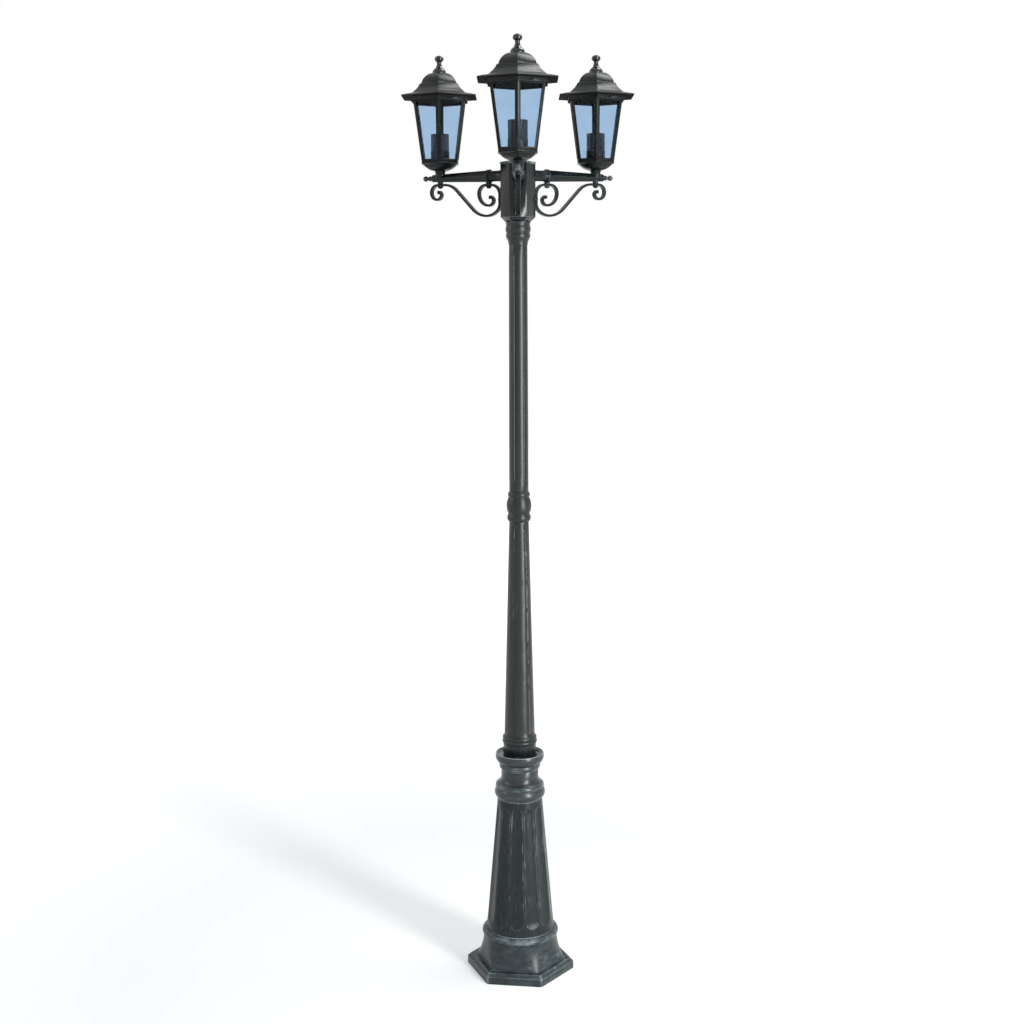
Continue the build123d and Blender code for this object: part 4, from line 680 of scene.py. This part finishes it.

# ---- lantern cage ----
# Tapered six-sided frame with a window in each face, cast in one piece; its corner bars are thin and square.
# Outside it has the enamel of the base that it stands on. Its faces that look down or into the lantern take
# painted
# shade instead: a matt brown-black finish in blots about 8 mm wide.
painted_shade, painted_shade_tree = new_finish("brown black painted shade")
painted_shade_place = add_node(painted_shade_tree, "ShaderNodeTexCoord").outputs["Object"]
blots = add_node(painted_shade_tree, "ShaderNodeTexNoise", {
    "Vector": painted_shade_place, "Scale": 1000 / 8, "Detail": 3.0}).outputs["Fac"]
painted_shade_colour = add_node(painted_shade_tree, "ShaderNodeValToRGB", {"Fac": blots})
painted_shade_colour.color_ramp.elements[0].color = linear("#0a0706")
painted_shade_colour.color_ramp.elements[1].color = linear("#221815")
matt = add_node(painted_shade_tree, "ShaderNodeBsdfPrincipled", {
    "Base Color": painted_shade_colour, "Roughness": 0.85, "Specular IOR Level": 0.05})
add_node(painted_shade_tree, "ShaderNodeOutputMaterial", {"Surface": matt})


def paint_shade_inside(mesh, side):
    """Gives painted shade, a dark matt finish, to the faces that look down or towards the middle of this
    lantern.
    """
    facing_down, facing_in = -0.4, -0.3
    middle = outward_of(side) * reach
    # the second material is painted shade, for faces under the eave and inside the lantern
    mesh.materials.append(painted_shade)
    for face in mesh.polygons:
        away = (face.center - middle).xy.normalized()
        face.material_index = int(face.normal.z < facing_down or face.normal.xy.dot(away) < facing_in)


for side in arm_turns:
    paint_shade_inside(cast_piece("lantern_cage_" + side, lantern_enamel, edge_round=0.0005), side)

# ---- panes ----
# Six clear acrylic plates, 3 mm thick, standing behind the windows of each cage and held by the roof.
# The sheet is blue all through; casting leaves it very slightly wavy, about 35 mm from crest to crest.
# Its IOR is below real acrylic's 1.49, or the white room mirrored in it would veil the dark lampholders.
pane_finish, pane_tree = new_finish("clear blue acrylic sheet")
pane_place = add_node(pane_tree, "ShaderNodeTexCoord").outputs["Object"]
waves = add_node(pane_tree, "ShaderNodeTexNoise", {
    "Vector": pane_place, "Scale": 1000 / 35, "Detail": 1.0}).outputs["Fac"]
tint = add_node(pane_tree, "ShaderNodeValToRGB", {"Fac": waves})
tint.color_ramp.elements[0].color = linear("#c3d6e8")
tint.color_ramp.elements[1].color = linear("#cfe0f0")
sheet_bump = add_node(pane_tree, "ShaderNodeBump", {"Height": waves, "Strength": 0.15, "Distance": 0.0004})
acrylic = add_node(pane_tree, "ShaderNodeBsdfPrincipled", {
    "Base Color": tint, "Roughness": 0.02, "IOR": 1.2, "Transmission Weight": 1.0, "Normal": sheet_bump})
add_node(pane_tree, "ShaderNodeOutputMaterial", {"Surface": acrylic})
for side in arm_turns:
    refinish("lantern_panes_" + side, pane_finish)


# ---- lampholder base ----
# Round block of brown-black phenolic, hot pressed, over the nipple nut; it carries the wires to the contacts.
# Pressed phenolic is satin, with cloudy brown filler that shows in patches about 5 mm across.
def phenolic(name, dark, light, cloud_mm, gloss, sheen):
    """Hot pressed phenolic with clouds of filler of this size. gloss is its roughness from least to most."""
    finish, tree = new_finish(name)
    place = add_node(tree, "ShaderNodeTexCoord").outputs["Object"]
    filler = add_node(tree, "ShaderNodeTexNoise", {
        "Vector": place, "Scale": 1000 / cloud_mm, "Detail": 4.0}).outputs["Fac"]
    colour = add_node(tree, "ShaderNodeValToRGB", {"Fac": filler})
    colour.color_ramp.elements[0].color = linear(dark)
    colour.color_ramp.elements[1].color = linear(light)
    shine = add_node(tree, "ShaderNodeMapRange", {"Value": filler, "To Min": gloss[0], "To Max": gloss[1]})
    moulding = add_node(tree, "ShaderNodeBsdfPrincipled", {
        "Base Color": colour, "Roughness": shine, "IOR": 1.6, "Specular IOR Level": sheen})
    add_node(tree, "ShaderNodeOutputMaterial", {"Surface": moulding})
    return finish


base_phenolic = phenolic("brown black phenolic", "#120e0c", "#2a221d", cloud_mm=5, gloss=(0.35, 0.5), sheen=0.3)
for side in arm_turns:
    refinish("holder_base_" + side, base_phenolic)

# ---- lampholder skirt ----
# Sleeve of the same phenolic that screws over the lamp shell, with twelve round ribs pressed round it for grip.
# The press die was polished, so the ribs are glossier than the base below.
skirt_tree, skirt_asks = new_shape("ribbed skirt", {
    "Low": "Float", "Height": "Float", "Radius": "Float", "Bore": "Float", "Ribs": "Int", "Rib Depth": "Float"})


def ribbed_radius(angle, above):
    """Radius over the ribs less the groove between two of them at this height."""
    tree, asked = skirt_tree, skirt_asks
    climbed = add_node(tree, "ShaderNodeMath", {0: above, 1: asked["Height"]}, operation="DIVIDE")
    ribs_passed = add_node(tree, "ShaderNodeMath", {0: climbed, 1: asked["Ribs"]}, operation="MULTIPLY")
    turn = add_node(tree, "ShaderNodeMath", {0: ribs_passed, 1: 2 * math.pi}, operation="MULTIPLY")
    wave = add_node(tree, "ShaderNodeMath", {0: turn}, operation="COSINE")
    share = add_node(tree, "ShaderNodeMath", {0: wave, 1: 0.5, 2: 0.5}, operation="MULTIPLY_ADD")
    groove = add_node(tree, "ShaderNodeMath", {0: share, 1: asked["Rib Depth"]}, operation="MULTIPLY")
    return add_node(tree, "ShaderNodeMath", {0: asked["Radius"], 1: groove}, operation="SUBTRACT")


skirt_phenolic = phenolic("polished black phenolic", "#0b0b0c", "#171819", cloud_mm=6, gloss=(0.22, 0.28),
                          sheen=0.6)
skirt_wall = revolved_wall(skirt_tree, skirt_asks, rows=96, columns=64, outer_radius=ribbed_radius)
finish_shape(skirt_tree, skirt_wall, skirt_phenolic)
for side in arm_turns:
    skirt_mesh = grow("ribbed_skirt_" + side, skirt_tree, {
        "Low": 2.071, "Height": 0.042, "Radius": 0.0225, "Bore": 0.0146, "Ribs": 12, "Rib Depth": 0.0011})
    skirt_mesh.transform(Matrix.Translation(outward_of(side) * reach))
    skirt_mesh.shade_smooth()
    skirt_mesh.set_sharp_from_angle(angle=math.radians(50))
    seat(skirt_mesh, "ribbed_skirt_" + side, skirt_phenolic, "skirt_plastic", "holder_skirt_" + side)

# ---- lamp contacts ----
# Drawn brass screw shell and a domed centre contact, inside the skirt.
# Bare brass, dulled in faint rings about 2 mm apart by the drawing die.
brass_finish, brass_tree = new_finish("drawn brass")
rings_at = add_node(brass_tree, "ShaderNodeMapping", {
    "Vector": add_node(brass_tree, "ShaderNodeTexCoord").outputs["Object"], "Scale": (30, 30, 1000 / 2)})
rings = add_node(brass_tree, "ShaderNodeTexNoise", {
    "Vector": rings_at, "Scale": 1.0, "Detail": 2.0}).outputs["Fac"]
brass_colour = add_node(brass_tree, "ShaderNodeValToRGB", {"Fac": rings})
brass_colour.color_ramp.elements[0].color = linear("#a8843c")
brass_colour.color_ramp.elements[1].color = linear("#d8b56a")
brass = add_node(brass_tree, "ShaderNodeBsdfPrincipled", {
    "Base Color": brass_colour, "Metallic": 1.0, "Roughness": 0.3})
add_node(brass_tree, "ShaderNodeOutputMaterial", {"Surface": brass})
for side in arm_turns:
    refinish("lamp_contacts_" + side, brass_finish)

# ---- roof ----
# Six-sided hood of two curved tiers over a wide eave, cast in one piece; it drops over the cage and lifts off.
# Enamelled satin on top, where the weather has taken some gloss, with the hips lighter, rubbed glaze and
# painted highlight; the faces inside and under the eave take painted shade.
roof_enamel = enamel("charcoal enamel on the roof", ("#0b0f11", "#1a2123", "#7f8a8d"), stroke_mm=(40, 40, 14),
                     glaze=0.12, edge_glaze_and_highlight=0.4, gloss=(0.34, 0.42), sheen=0.25)
for side in arm_turns:
    paint_shade_inside(cast_piece("roof_" + side, roof_enamel, edge_round=0.0010), side)

# ---- roof screws ----
# Three small screws through the collar under each eave hold the roof on the cage.
# They are the cup's kind of steel screw in a smaller size, enamelled with the roof.
for side in arm_turns:
    collar_places = [(outward_of(side) * reach + place, outward)
                     for place, outward in all_round(radius=0.0675, count=3, first_degrees=-60, height=2.194)]
    collar_mesh = grow("roof_screw_set_" + side, screw_tree, {
        "Head Radius": 0.0036, "Head Height": 0.0029, "Shank Radius": 0.0018, "Shank Length": 0.0034,
        "Thread Pitch": 0.0008, "Slot Width": 0.0009, "Slot Depth": 0.0013}, screw_points(collar_places))
    mark_high_edges(collar_mesh)
    seat(collar_mesh, "roof_screw_set_" + side, screw_enamel, "plated_steel", "roof_screws_" + side)

# ---- finial and its nut ----
# Turned cup, neck and ball on a threaded stud, held by a plated steel nut inside the roof.
# It is dipped last, so its enamel has the brightest gloss of the lantern.
finial_enamel = enamel("charcoal enamel on the finial", ("#0a0c0d", "#1a2022", "#9aa3a6"),
                       stroke_mm=(12, 12, 3), glaze=0.1, edge_glaze_and_highlight=0.25, gloss=(0.16, 0.24), sheen=0.5)
for side in arm_turns:
    cast_piece("finial_" + side, finial_enamel, edge_round=0.0004)
    refinish("finial_nut_" + side, nut_steel)
